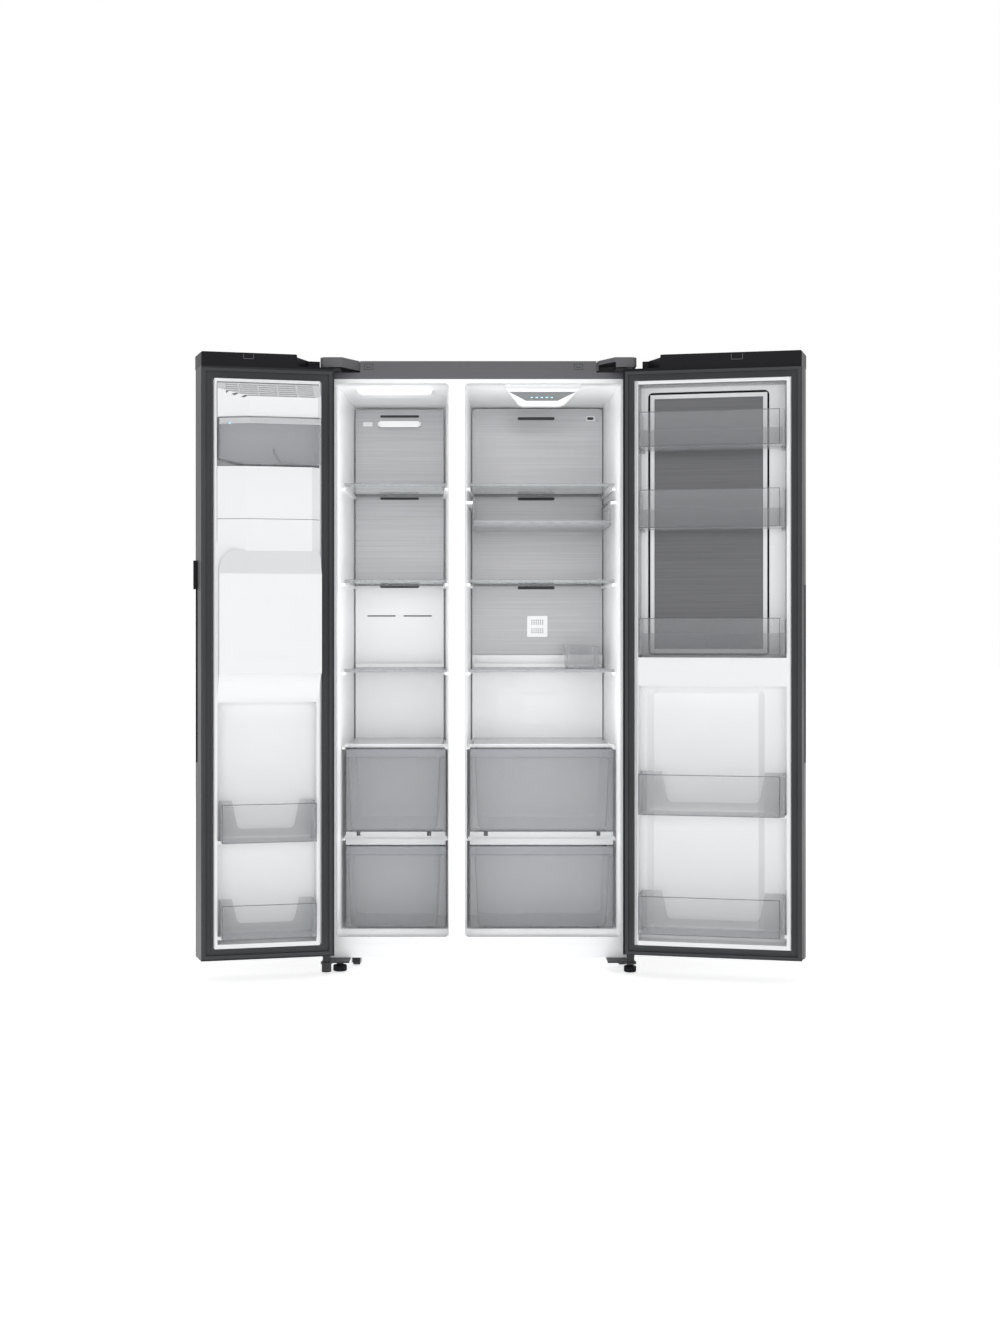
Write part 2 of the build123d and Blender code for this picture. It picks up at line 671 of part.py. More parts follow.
HANDLE_Z = (616.0, 1122.0)
HANDLE_Y = (-96.0, -68.0)
HEAD_Z = (1122.0, 1192.0)
DISPENSER_X = (-362.0, -172.0)
DISPENSER_Z = (868.0, 1190.0)
DISPENSER_BACK = -30.0
LEFT_GASKET = (-449.0, -80.0)
RIGHT_GASKET = (-46.0, 449.0)
GASKET_Z = (67.0, 1732.0)
LEFT_DAM = (-411.0, -113.0)
RIGHT_DAM = (-17.0, 412.0)
DAM_Z = (100.0, 1699.0)
LEFT_RECESS = ((-400.0, -122.0), (112.0, 790.0))
LEFT_ICE_RECESS = ((-408.0, -120.0), (1240.0, 1690.0))


def freezer_door_skin():
    """Steel skin of the freezer door, cut for the dispenser and the finger groove."""
    inner = door_outline(-1, (DOOR_FRONT_Y + SKIN, DOOR_BACK_Y - SKIN), SKIN)
    with BuildPart() as hollow:
        prism(inner, (DOOR_Z[0] - 1, DOOR_Z[1] + 1))
        fillet(outer_edges(hollow), 5.5)
    with BuildPart() as skin:
        prism(door_outline(-1, (DOOR_FRONT_Y, DOOR_BACK_Y)), DOOR_Z)
        fillet(outer_edges(skin), 7)
        add(hollow.part, mode=Mode.SUBTRACT)
        window = (-HALF + 1 + HEM, slant_x(LEFT_FREE_X, -1, DOOR_BACK_Y) - HEM)
        block(window, (DOOR_BACK_Y - 5, DOOR_BACK_Y + 1), (DOOR_Z[0] + 9, DOOR_Z[1] - 8), Mode.SUBTRACT)
        block(DISPENSER_X, (DOOR_FRONT_Y - 1, DOOR_FRONT_Y + 4), DISPENSER_Z, Mode.SUBTRACT)
        block((LEFT_FREE_X - 26, LEFT_FREE_X + 8), HANDLE_Y, HANDLE_Z, Mode.SUBTRACT)
    keep("freezer_door_skin", skin.part)


def grown_block(x, y, z, grow, mode=Mode.ADD):
    """A box grown sideways and towards the outside of the door by a wall thickness."""
    block((x[0] - grow, x[1] + grow), (y[0] - grow, y[1]), (z[0] - grow, z[1] + grow), mode)


def freezer_door_liner():
    """White inner face of the freezer door: a raised dam with recesses for the bins and the ice maker."""
    window = (-HALF + 1 + HEM, slant_x(LEFT_FREE_X, -1, DOOR_BACK_Y) - HEM)
    top = (RECESS_Y, DAM_Y + 5)
    with BuildPart() as liner:
        block(window, (DOOR_BACK_Y - 3, DOOR_BACK_Y), (DOOR_Z[0] + 9, DOOR_Z[1] - 8))
        block(LEFT_DAM, (DOOR_BACK_Y - 3, DAM_Y), DAM_Z)
        fillet(liner.edges().filter_by(Axis.Z).group_by(Axis.Y)[-1], 6)
        inner = (LEFT_DAM[0] + DOOR_WALL, LEFT_DAM[1] - DOOR_WALL)
        hollow_z = (DAM_Z[0] + DOOR_WALL, DAM_Z[1] - DOOR_WALL)
        block(inner, (DOOR_BACK_Y - 4, DAM_Y - DOOR_WALL - 2), hollow_z, Mode.SUBTRACT)
        for x, z in (LEFT_RECESS, LEFT_ICE_RECESS):
            grown_block(x, (RECESS_Y, DAM_Y - 1), z, DOOR_WALL)
        for x, z in (LEFT_RECESS, LEFT_ICE_RECESS):
            block(x, top, z, Mode.SUBTRACT)
        for floor in LEFT_BIN_Z:
            for x in (LEFT_RECESS[0][0], LEFT_RECESS[0][1]):
                ledge = sorted((x, x + (12 if x < -200 else -12)))
                block(ledge, (RECESS_Y, DAM_Y - 2), (floor[0] - 9, floor[0]))
    keep("freezer_door_liner", liner.part)


def freezer_door_foam():
    """Foam core of the freezer door, round the recesses, the dispenser, the groove and the pin sockets."""
    inner = door_outline(-1, (DOOR_FRONT_Y + SKIN, DOOR_BACK_Y - 3), SKIN)
    with BuildPart() as foam:
        prism(inner, (DOOR_Z[0] + 9, DOOR_Z[1]))
        fillet(outer_edges(foam), 5.5)
        grow = DOOR_WALL
        for x, z in (LEFT_RECESS, LEFT_ICE_RECESS):
            grown_block(x, (RECESS_Y, DAM_Y), z, grow, Mode.SUBTRACT)
        housing_x = (DISPENSER_X[0] - 3, DISPENSER_X[1] + 3)
        housing_z = (DISPENSER_Z[0] - 3, DISPENSER_Z[1] + 3)
        block(housing_x, (DOOR_FRONT_Y - 1, DISPENSER_BACK + 3), housing_z, Mode.SUBTRACT)
        block((LEFT_FREE_X - 29, 0), (HANDLE_Y[0] - 3, HANDLE_Y[1] + 3), (HANDLE_Z[0] - 3, HANDLE_Z[1] + 3),
              Mode.SUBTRACT)
        rod((-PIVOT_X, PIVOT_Y, DOOR_Z[0] + 9), 11, 18.2, mode=Mode.SUBTRACT)
        rod((-PIVOT_X, PIVOT_Y, DOOR_Z[1]), 11, 38.2, mode=Mode.SUBTRACT)
    keep("freezer_door_foam", foam.part)


def step_reach(y):
    """How far from the hinge line a cap's middle step starts, slanting to pass the hinge cover."""
    return 50.0 + 0.65 * (y - CAP_KINK_Y)


def step_edge(side, y):
    """Hinge-side edge of a cap's middle step. In front of the hinge cover it comes nearer to the pin."""
    if y[0] < CAP_KINK_Y:
        front = 17.0 if side < 0 else 33.0
        near = [(front, y[0]), (front, CAP_KINK_Y), (step_reach(CAP_KINK_Y), CAP_KINK_Y)]
    else:
        near = [(step_reach(y[0]), y[0])]
    near.append((step_reach(y[1]), y[1]))
    return [(side * (PIVOT_X - reach), depth) for reach, depth in near]


def cap_steps(side, y):
    """Middle and tall steps of a door's top cap, over the part that clears the hinge."""
    free_x, sign = (LEFT_FREE_X, -1) if side < 0 else (RIGHT_FREE_X, 1)
    near = step_edge(side, y)
    tall_x = side * (PIVOT_X - CAP_TALL_FROM)
    over_x = tall_x - side * 3
    prism(near + [(over_x, y[1]), (over_x, y[0])], (DOOR_Z[1], CAP_MIDDLE))
    tall = [
        (tall_x, y[0]),
        (slant_x(free_x, sign, y[0]), y[0]),
        (slant_x(free_x, sign, y[1]), y[1]),
        (tall_x, y[1]),
    ]
    prism(tall, (DOOR_Z[1], CAP_TOP))


def pin_sockets(side, bottom, top):
    """Bearing tubes for the two hinge pins, inside the end caps."""
    x = side * PIVOT_X
    rod((x, PIVOT_Y, (bottom + 78) / 2), 10.8, 78 - bottom)
    rod((x, PIVOT_Y, (1719 + top) / 2), 10.8, top - 1719)
    rod((x, PIVOT_Y, 66), PIN_R + RUN_CLEAR, 20, mode=Mode.SUBTRACT)
    rod((x, PIVOT_Y, 1736), PIN_R + RUN_CLEAR, 31, mode=Mode.SUBTRACT)


def freezer_door_caps():
    """Moulded end caps: a low part beside the hinge, a middle step and a tall part for the rest."""
    y = (DOOR_FRONT_Y, DOOR_BACK_Y)
    with BuildPart() as caps:
        prism(door_outline(-1, y), (DOOR_Z[1], CAP_LOW))
        cap_steps(-1, y)
        fillet(caps.edges().group_by(Axis.Z)[-1], 4)
        prism(door_outline(-1, (y[0] + SKIN, y[1] - SKIN), SKIN), (DOOR_Z[0], DOOR_Z[0] + 9))
        low_edges = caps.edges().filter_by(Axis.Z).filter_by(lambda edge: edge.center().Z < 100)
        fillet(low_edges.group_by(Axis.Y)[0], 5.5)
        pin_sockets(-1, DOOR_Z[0], CAP_LOW)
    keep("freezer_door_caps", caps.part)


def gasket_ring(name, x, z, width, base_y, lip_y):
    """Magnetic seal: a flat flange with a tall outer ridge and a lower inner one."""
    with BuildPart() as ring:
        block(x, (base_y, base_y + GASKET_BASE), z)
        block((x[0] + 1, x[1] - 1), (base_y, lip_y), (z[0] + 1, z[1] - 1))
        block((x[0] + GASKET_LIP, x[1] - GASKET_LIP), (base_y + GASKET_BASE, lip_y + 1),
              (z[0] + GASKET_LIP, z[1] - GASKET_LIP), Mode.SUBTRACT)
        edge = width - 6
        block((x[0] + edge, x[1] - edge), (base_y, base_y + 7), (z[0] + edge, z[1] - edge))
        opening_z = (z[0] + width, z[1] - width)
        block((x[0] + width, x[1] - width), (base_y - 1, base_y + 9), opening_z, Mode.SUBTRACT)
    keep(name, ring.part)


def freezer_door_handle():
    """Dark lining of the finger groove, with an end piece above it that stands out from the door's edge."""
    y = (HANDLE_Y[0] - 3, HANDLE_Y[1] + 3)
    with BuildPart() as door:
        prism(door_outline(-1, (DOOR_FRONT_Y, DOOR_BACK_Y)), DOOR_Z)
    with BuildPart() as lining:
        block((LEFT_FREE_X - 29, LEFT_FREE_X + 8), y, (HANDLE_Z[0] - 3, HANDLE_Z[1] + 3))
        prism(door_outline(-1, (DOOR_FRONT_Y + SKIN, DOOR_BACK_Y - 3), SKIN), (0, HEIGHT), Mode.INTERSECT)
        block((LEFT_FREE_X - 26, LEFT_FREE_X + 8), HANDLE_Y, HANDLE_Z, Mode.SUBTRACT)
    with BuildPart() as grip:
        block((LEFT_FREE_X - 9, LEFT_FREE_X + 6), (-101, -83), HEAD_Z)
        add(door.part, mode=Mode.SUBTRACT)
        add(lining.part)
        block((LEFT_FREE_X - 28, LEFT_FREE_X + 6), (-96, -84), (HEAD_Z[0] - 12, HEAD_Z[0]))
    keep("freezer_door_handle", grip.part)


LEFT_BIN_Z = ((402.0, 510.0), (134.0, 230.0))


def maker_body(grow):
    """The ice maker's housing as one solid: upright front, then a long slope up to the top."""
    plan = [
        (-407 + grow, RECESS_Y + grow),
        (-407 + grow, 70),
        (-397 + grow, 80 - grow),
        (-207, 80 - grow),
        (-121 - grow, 46),
        (-121 - grow, RECESS_Y + grow),
    ]
    prism(plan, (1588 - grow, 1689))
    low, high = 1640 - grow, 1688 - grow
    slope = [(-80, 1560), (120, 1560), (120, low), (84, low), (18, high), (-80, high)]
    profile_yz(slope, (-410, -118), Mode.INTERSECT)


def ice_maker():
    """White housing with a slatted slope over the ice tray, in the top of the freezer door."""
    tilt = math.degrees(math.atan2(48, -66))
    with BuildPart() as hollow:
        maker_body(3)
    with BuildPart() as maker:
        maker_body(0)
        add(hollow.part, mode=Mode.SUBTRACT)
        for row in range(6):
            share = (row + 0.9) / 6.8
            for centre, width in ((-366, 44), (-314, 50), (-260, 50), (-206, 50), (-160, 34)):
                with Locations(Location((centre, 84 - 66 * share, 1640 + 48 * share), (tilt, 0, 0))):
                    Box(width, 6.5, 14, mode=Mode.SUBTRACT)
        block((-377, -181), (RECESS_Y + 20, 40), (1600, 1630))
        block((-377, -181), (RECESS_Y, RECESS_Y + 21), (1612, 1630))
        for n in range(7):
            centre = -360 + n * 27
            block((centre - 11, centre + 11), (RECESS_Y + 24, 36), (1608, 1631), Mode.SUBTRACT)
    keep("ice_maker", maker.part)


def bucket_body(grow, top):
    """The ice bucket's volume: sloping back at the free side, with its floor swept up there."""
    plan = [
        (-404 + grow, -36 + grow),
        (-404 + grow, 84 - grow),
        (-207, 84 - grow),
        (-125 - grow, 50),
        (-125 - grow, -36 + grow),
    ]
    prism(plan, (1456 + grow, top))
    with BuildSketch(Plane.XZ.offset(60)) as front:
        with BuildLine():
            Polyline(
                (-410, 1456 + grow),
                (-196, 1456 + grow),
                (-125 - grow, 1476 + grow),
                (-125 - grow, 1600),
                (-410, 1600),
                close=True,
            )
        make_face()
    extrude(front.sketch, amount=-180, mode=Mode.INTERSECT)


def ice_bucket():
    """Clear bucket under the ice maker, with a rim and an outlet in its floor."""
    with BuildPart() as hollow:
        bucket_body(3, 1590)
    with BuildPart() as bucket:
        bucket_body(0, 1584)
        add(hollow.part, mode=Mode.SUBTRACT)
        block((-405, -207), (81, 87), (1570, 1584))
        rod((-267, 20, 1456), 24, 20, mode=Mode.SUBTRACT)
    keep("ice_bucket", bucket.part)


def bulge_body(grow):
    """The dispenser's back as one solid: sloping top, flat front and a hollow curve below."""
    side = [
        (-40, 802 + grow),
        (-40, 1219 - grow),
        (45, 1219 - grow),
        (84 - grow, 1150 - grow),
        (84 - grow, 873 + grow),
    ]
    with BuildPart() as bulge:
        with BuildSketch(Plane.XZ.offset(60)) as front:
            with BuildLine():
                Polyline((-407 + grow, 790), (-407 + grow, 1221 - grow), (-123 - grow, 1221 - grow),
                         (-123 - grow, 790), close=True)
            make_face()
            fillet(front.vertices().group_by(Axis.Y)[-1].sort_by(Axis.X)[0], 26 - grow)
            fillet(front.vertices().group_by(Axis.Y)[-1].sort_by(Axis.X)[-1], 60 - grow)
        extrude(front.sketch, amount=-200)
        with BuildSketch(Plane.YZ.offset(-410)) as outline:
            with BuildLine():
                Polyline(*side)
                ThreePointArc(side[-1], (44 - grow, 846 + grow), (24 - grow, 802 + grow))
                Line((24 - grow, 802 + grow), side[0])
            make_face()
        extrude(outline.sketch, amount=300, mode=Mode.INTERSECT)
    return bulge.part


def chute_body(grow):
    """The column under the ice bucket and the bulge below it, as one solid in front of the door's lining."""
    bulge = bulge_body(grow)
    plan = [
        (-407 + grow, RECESS_Y),
        (-407 + grow, 30),
        (-384, 47 - grow),
        (-200, 47 - grow),
        (-121 - grow, 22 - grow),
        (-121 - grow, RECESS_Y),
    ]
    with BuildPart() as body:
        prism(plan, (1160, 1452 - grow))
        add(bulge)
        block((-410, -118), (-80, DAM_Y - grow), (700, 1242 + grow), Mode.SUBTRACT)
    return body.part


def ice_chute_cover():
    """White column and dispenser bulge on the inside of the freezer door, with the ice chute inside."""
    outside = chute_body(0)
    hollow = chute_body(3)
    with BuildPart() as cover:
        add(outside)
        add(hollow, mode=Mode.SUBTRACT)
        with BuildSketch(Plane.XZ.offset(-84)) as frames:
            with Locations((-264, 1006)):
                RectangleRounded(178, 178, 12)
                RectangleRounded(150, 150, 12, mode=Mode.SUBTRACT)
        extrude(frames.sketch, amount=0.9, mode=Mode.SUBTRACT)
        rod((-267, 20, 1450), 24, 8, mode=Mode.SUBTRACT)
        block((-410, -118), (44, 60), (1304, 1305.5), Mode.SUBTRACT)
    keep("ice_chute_cover", cover.part)


def dispenser():
    """Dispenser in the outside of the freezer door: recess, control head, nozzle and drip tray."""
    x, z = DISPENSER_X, DISPENSER_Z
    with BuildPart() as housing:
        block((x[0] - 3, x[1] + 3), (DOOR_FRONT_Y + SKIN, DISPENSER_BACK + 3), (z[0] - 3, z[1] + 3))
        block((x[0] - 8, x[1] + 8), (DOOR_FRONT_Y - 3, DOOR_FRONT_Y), (z[0] - 8, z[1] + 8))
        block(x, (DOOR_FRONT_Y - 1, DOOR_FRONT_Y + SKIN + 1), z)
        block(x, (DOOR_FRONT_Y - 4, DISPENSER_BACK), (z[0], z[1] - 66), Mode.SUBTRACT)
        block((x[0] + 30, x[1] - 30), (DOOR_FRONT_Y + 20, DISPENSER_BACK - 18), (z[1] - 84, z[1] - 66))
        rod((-267, -66, z[1] - 70), 15, 80, mode=Mode.SUBTRACT)
        block((x[0] + 8, x[1] - 8), (DOOR_FRONT_Y + 6, DISPENSER_BACK), (z[0] - 1, z[0] + 10))
        for n in range(14):
            centre = x[0] + 23 + n * 11.1
            block((centre - 3, centre + 3), (DOOR_FRONT_Y + 12, DISPENSER_BACK - 6), (z[0] + 4, z[0] + 11),
                  Mode.SUBTRACT)
        with BuildSketch(Plane.XZ.offset(-DOOR_FRONT_Y + 3)):
            with Locations((-267, z[1] - 33)):
                RectangleRounded(150, 40, 5)
        extrude(amount=-1, mode=Mode.SUBTRACT)
        for side in (x[0] + 40, x[1] - 40):
            block((side - 3, side + 3), (-62, -44), (z[1] - 108, z[1] - 84))
        rod((-267, -52, z[1] - 98), 3, x[1] - x[0] - 80, Axis.X)
    keep("dispenser", housing.part)


def dispenser_paddle():
    """Curved lever that hangs in the recess on its axle. Pressing it calls for ice or water."""
    z = DISPENSER_Z[1] - 98
    with BuildPart() as paddle:
        rod((-267, -52, z), 6, 90, Axis.X)
        block((-297, -237), (-57, -53), (z - 96, z))
        block((-297, -237), (-61, -53), (z - 110, z - 94))
        fillet(paddle.edges().filter_by(Axis.Y).group_by(Axis.Z)[0], 6)
        rod((-267, -52, z), 3 + RUN_CLEAR, 100, Axis.X, Mode.SUBTRACT)
    keep("dispenser_paddle", paddle.part)


def door_bin(x, z, ear):
    """A clear tub. With ears, its rear wall is cut down to a low sill between two high ends."""
    inner = (x[0] + BIN_WALL, x[1] - BIN_WALL)
    with BuildPart() as hollow:
        block(inner, (BIN_Y[0] + BIN_WALL, BIN_Y[1] - BIN_WALL), (z[0] + BIN_WALL, z[1] + 1))
        fillet(hollow.edges().filter_by(Axis.Z).group_by(Axis.Y)[-1], 10)
    with BuildPart() as tub:
        block(x, BIN_Y, z)
        fillet(tub.edges().filter_by(Axis.Z).group_by(Axis.Y)[-1], 12)
        add(hollow.part, mode=Mode.SUBTRACT)
        if ear:
            low = z[0] + 27
            with BuildSketch(Plane.XZ.offset(-BIN_Y[0] + 1)) as notch:
                with BuildLine():
                    Polyline((x[0] + ear, z[1] + 2), (x[0] + ear + 17, low), (x[1] - ear - 17, low),
                             (x[1] - ear, z[1] + 2), close=True)
                make_face()
                fillet(notch.vertices().group_by(Axis.Y)[0], 16)
            extrude(notch.sketch, amount=-8, mode=Mode.SUBTRACT)
        else:
            block(inner, (BIN_Y[0] - 1, BIN_Y[0] + 5), (z[0] + 60, z[1] + 1), Mode.SUBTRACT)
    return tub.part


def door_bins(name, bins):
    """All the bins of one door."""
    tubs = [door_bin(*size) for size in bins]
    with BuildPart() as group:
        add(tubs)
    keep(name, group.part)


RIGHT_WINDOW = ((43.0, 386.0), (922.0, 1674.0))
RIGHT_POCKET = ((-6.0, 408.0), (916.0, 1690.0))
RIGHT_RECESS = ((-6.0, 408.0), (112.0, 836.0))
POCKET_Y = -40.0
RIGHT_BINS = (
    ((-2.0, 401.0), (1506.0, 1604.0), 0),
    ((-2.0, 401.0), (1279.0, 1386.0), 0),
    ((-2.0, 401.0), (925.0, 1027.0), 0),
    ((-2.0, 403.0), (476.0, 590.0), 57),
    ((-2.0, 403.0), (142.0, 249.0), 57),
)
LEFT_BINS = (
    ((-394.0, -129.0), LEFT_BIN_Z[0], 36),
    ((-394.0, -129.0), LEFT_BIN_Z[1], 36),
)


def fridge_frame_outline(inset=0.0):
    """Plan of the inner door frame, stepped back round the hinge so that the showcase door can turn."""
    return [
        (slant_x(RIGHT_FREE_X, 1, DOOR_BACK_Y) + inset, DOOR_BACK_Y),
        (HALF - 1 - inset, DOOR_BACK_Y),
        (HALF - 1 - inset, -52),
        (PIVOT_X - 12, -52),
        (PIVOT_X - 12, CASE_BACK_Y),
        (slant_x(RIGHT_FREE_X, 1, CASE_BACK_Y) + inset, CASE_BACK_Y),
    ]


def fridge_rim_window(front_y):
    """The part of the frame's inner face left inside the edge band."""
    x = (slant_x(RIGHT_FREE_X, 1, DOOR_BACK_Y) + 5, HALF - 9)
    block(x, (DOOR_BACK_Y - EDGE_BAND, front_y), (DOOR_Z[0] + 13, DOOR_Z[1] - 8))


def fridge_door_caps():
    """End caps of the inner door frame, joined by bands along both sides with a narrow return by the seal."""
    low_top = DOOR_Z[1] + 2.5
    bottom = DOOR_Z[0] + 4
    with BuildPart() as core:
        prism(fridge_frame_outline(EDGE_BAND), (DOOR_Z[0] + 9, DOOR_Z[1]))
        block((-HALF, HALF), (DOOR_BACK_Y - EDGE_BAND, 0), (0, HEIGHT), Mode.SUBTRACT)
        fridge_rim_window(DOOR_BACK_Y + 1)
    with BuildPart() as caps:
        prism(fridge_frame_outline(), (bottom, low_top))
        add(core.part, mode=Mode.SUBTRACT)
        cap_steps(1, (CASE_BACK_Y, DOOR_BACK_Y))
        fillet(caps.edges().group_by(Axis.Z)[-1], 4)
        pin_sockets(1, bottom, low_top)
    keep("fridge_door_caps", caps.part)


def fridge_door_frame():
    """Inner half of the refrigerator door: a white frame with a through window above and a recess below."""
    with BuildPart() as frame:
        prism(fridge_frame_outline(EDGE_BAND), (DOOR_Z[0] + 13, DOOR_Z[1]))
        block((-HALF, HALF), (DOOR_BACK_Y - EDGE_BAND, 0), (0, HEIGHT), Mode.SUBTRACT)
        fridge_rim_window(DOOR_BACK_Y)
        block(RIGHT_DAM, (DOOR_BACK_Y - 1, DAM_Y), DAM_Z)
        fillet(frame.edges().filter_by(Axis.Z).group_by(Axis.Y)[-1], 6)
        block(RIGHT_POCKET[0], (POCKET_Y, DAM_Y + 1), RIGHT_POCKET[1], Mode.SUBTRACT)
        block(RIGHT_RECESS[0], (POCKET_Y + 4, DAM_Y + 1), RIGHT_RECESS[1], Mode.SUBTRACT)
        with BuildSketch(Plane.XZ.offset(-POCKET_Y - 1)) as window:
            (left, right), (low, high) = RIGHT_WINDOW
            with Locations(((left + right) / 2, (low + high) / 2)):
                RectangleRounded(right - left, high - low, 14)
        extrude(window.sketch, amount=40, both=True, mode=Mode.SUBTRACT)
        with BuildSketch(Plane.XZ.offset(-POCKET_Y - 4)) as dish:
            with Locations((222, 478)):
                RectangleRounded(332, 704, 24)
        extrude(dish.sketch, amount=17, taper=46, mode=Mode.SUBTRACT)
        for x, floor, _ in RIGHT_BINS[3:]:
            for wall in (RIGHT_RECESS[0][0], RIGHT_RECESS[0][1] - 12):
                block((wall, wall + 12), (POCKET_Y + 4, DAM_Y - 2), (floor[0] - 9, floor[0]))
        rod((PIVOT_X, PIVOT_Y, DOOR_Z[0] + 9), 11, 40, mode=Mode.SUBTRACT)
        rod((PIVOT_X, PIVOT_Y, DOOR_Z[1]), 11, 40, mode=Mode.SUBTRACT)
    keep("fridge_door_frame", frame.part)


def bin_side_frames():
    """Clear uprights that carry the three upper bins, joined by a ledge along the top."""
    x, z = RIGHT_POCKET
    with BuildPart() as frames:
        for edge in (x[0], x[1] - 3):
            block((edge, edge + 3), (POCKET_Y, DAM_Y), z)
        block(x, (POCKET_Y, DAM_Y), (z[1] - 3, z[1]))
        for _, floor, _ in RIGHT_BINS[:2]:
            for edge in (x[0], x[1] - 14):
                block((edge, edge + 14), (POCKET_Y, DAM_Y), (floor[0] - 6, floor[0]))
    keep("bin_side_frames", frames.part)


def showcase_groove(grow, mode=Mode.ADD):
    """Finger groove in the showcase door's sloping free edge, grown by the wall that lines it."""
    y = (HANDLE_Y[0] - grow, min(HANDLE_Y[1] + grow, SHOWCASE_Y - 3))
    z = (HANDLE_Z[0] - grow, HANDLE_Z[1] + grow)
    block((RIGHT_FREE_X - 9, RIGHT_FREE_X + 22 + grow), y, z, mode)


def showcase_skin():
    """Steel skin of the outer showcase door, folded round both side faces and into the finger groove."""
    y = (DOOR_FRONT_Y, SHOWCASE_Y)
    with BuildPart() as hollow:
        prism(door_outline(1, (y[0] + SKIN, y[1] - SKIN), SKIN), (DOOR_Z[0] - 1, DOOR_Z[1] + 1))
        fillet(outer_edges(hollow), 5.5)
    with BuildPart() as lining:
        prism(door_outline(1, y), (DOOR_Z[0], DOOR_Z[1]))
        showcase_groove(3, Mode.INTERSECT)
    with BuildPart() as skin:
        prism(door_outline(1, y), DOOR_Z)
        fillet(outer_edges(skin), 7)
        add(hollow.part, mode=Mode.SUBTRACT)
        add(lining.part)
        window = (slant_x(RIGHT_FREE_X, 1, y[1]) + HEM, HALF - 1 - HEM)
        block(window, (y[1] - 3, y[1] + 1), (0, HEIGHT), Mode.SUBTRACT)
        for end in ((0, DOOR_Z[0] + 23), (DOOR_Z[1] - 20, HEIGHT)):
            rod((PIVOT_X, PIVOT_Y, sum(end) / 2), 12, end[1] - end[0], mode=Mode.SUBTRACT)
        block((PIVOT_X - 13.4, PIVOT_X + 13.4), (y[1] - 9, y[1] + 1), (0, DOOR_Z[0] + 4), Mode.SUBTRACT)
        showcase_groove(0, Mode.SUBTRACT)
    keep("showcase_door_skin", skin.part)


def showcase_panel():
    """Inner face of the showcase door: a sheet with a raised white surround that fills the frame's window."""
    y = SHOWCASE_Y
    sheet = (slant_x(RIGHT_FREE_X, 1, y) + HEM, HALF - 1 - HEM)
    x, z = RIGHT_WINDOW
    with BuildPart() as panel:
        block((x[0] + 3, x[1] - 3), (y - 3, SURROUND_Y), (z[0] + 3, z[1] - 3))
        fillet(panel.edges().filter_by(Axis.Y), 11)
        block(sheet, (y - 3, y), (DOOR_Z[0] + 9, DOOR_Z[1]))
        field = (SURROUND_Y - 1.2, SURROUND_Y + 1)
        block((x[0] + 17, x[1] - 17), field, (z[0] + 17, z[1] - 17), Mode.SUBTRACT)
        block((x[0] + 8, x[1] - 8), (y - 4, SURROUND_Y - 4), (z[0] + 8, z[1] - 8), Mode.SUBTRACT)
        for end in (DOOR_Z[0] + 12, DOOR_Z[1] - 5):
            rod((PIVOT_X, PIVOT_Y, end), 12, 34, mode=Mode.SUBTRACT)
    keep("showcase_inner_panel", panel.part)


def showcase_foam():
    """Foam core of the showcase door, round the groove and the pin bosses."""
    x, z = RIGHT_WINDOW
    with BuildPart() as foam:
        prism(door_outline(1, (DOOR_FRONT_Y + SKIN, SHOWCASE_Y - 3), SKIN), (DOOR_Z[0] + 9, DOOR_Z[1]))
        fillet(outer_edges(foam), 5.5)
        block((x[0] + 8, x[1] - 8), (SHOWCASE_Y - 4, SURROUND_Y - 4), (z[0] + 8, z[1] - 8))
        showcase_groove(3, Mode.SUBTRACT)
        for end in (DOOR_Z[0] + 12, DOOR_Z[1] - 5):
            rod((PIVOT_X, PIVOT_Y, end), 12, 34, mode=Mode.SUBTRACT)
    keep("showcase_foam", foam.part)


def showcase_caps():
    """End caps of the showcase door, with thin lugs that turn on the same hinge pins as the inner frame."""
    y = (DOOR_FRONT_Y, SHOWCASE_Y)
    with BuildPart() as caps:
        prism(door_outline(1, y), (DOOR_Z[1], CAP_LOW))
        cap_steps(1, y)
        fillet(caps.edges().group_by(Axis.Z)[-1], 4)
        prism(door_outline(1, (y[0] + SKIN, y[1] - SKIN), SKIN), (DOOR_Z[0], DOOR_Z[0] + 9))
        low_edges = caps.edges().filter_by(Axis.Z).filter_by(lambda edge: edge.center().Z < 100)
        fillet(low_edges.group_by(Axis.Y)[0], 5.5)
        for end in (DOOR_Z[0] + 14, DOOR_Z[1] - 7):
            rod((PIVOT_X, PIVOT_Y, end), 12, 24, mode=Mode.SUBTRACT)
        for lug in ((DOOR_Z[0], DOOR_Z[0] + 3), (CAP_LOW - 3, CAP_LOW)):
            rod((PIVOT_X, PIVOT_Y, sum(lug) / 2), 13, 3)
            block((PIVOT_X - 13, PIVOT_X + 13), (y[1] - 8, PIVOT_Y), lug)
        for z in (DOOR_Z[0], CAP_LOW):
            rod((PIVOT_X, PIVOT_Y, z), PIN_R + RUN_CLEAR, 10, mode=Mode.SUBTRACT)
    keep("showcase_caps", caps.part)


def swing(names, pivot_x, angle):
    """Turn door pieces about their hinge line to the open rest position."""
    turn = Pos(pivot_x, PIVOT_Y, 0) * Rot(0, 0, angle) * Pos(-pivot_x, -PIVOT_Y, 0)
    for name in names:
        keep(name, turn * pieces[name])


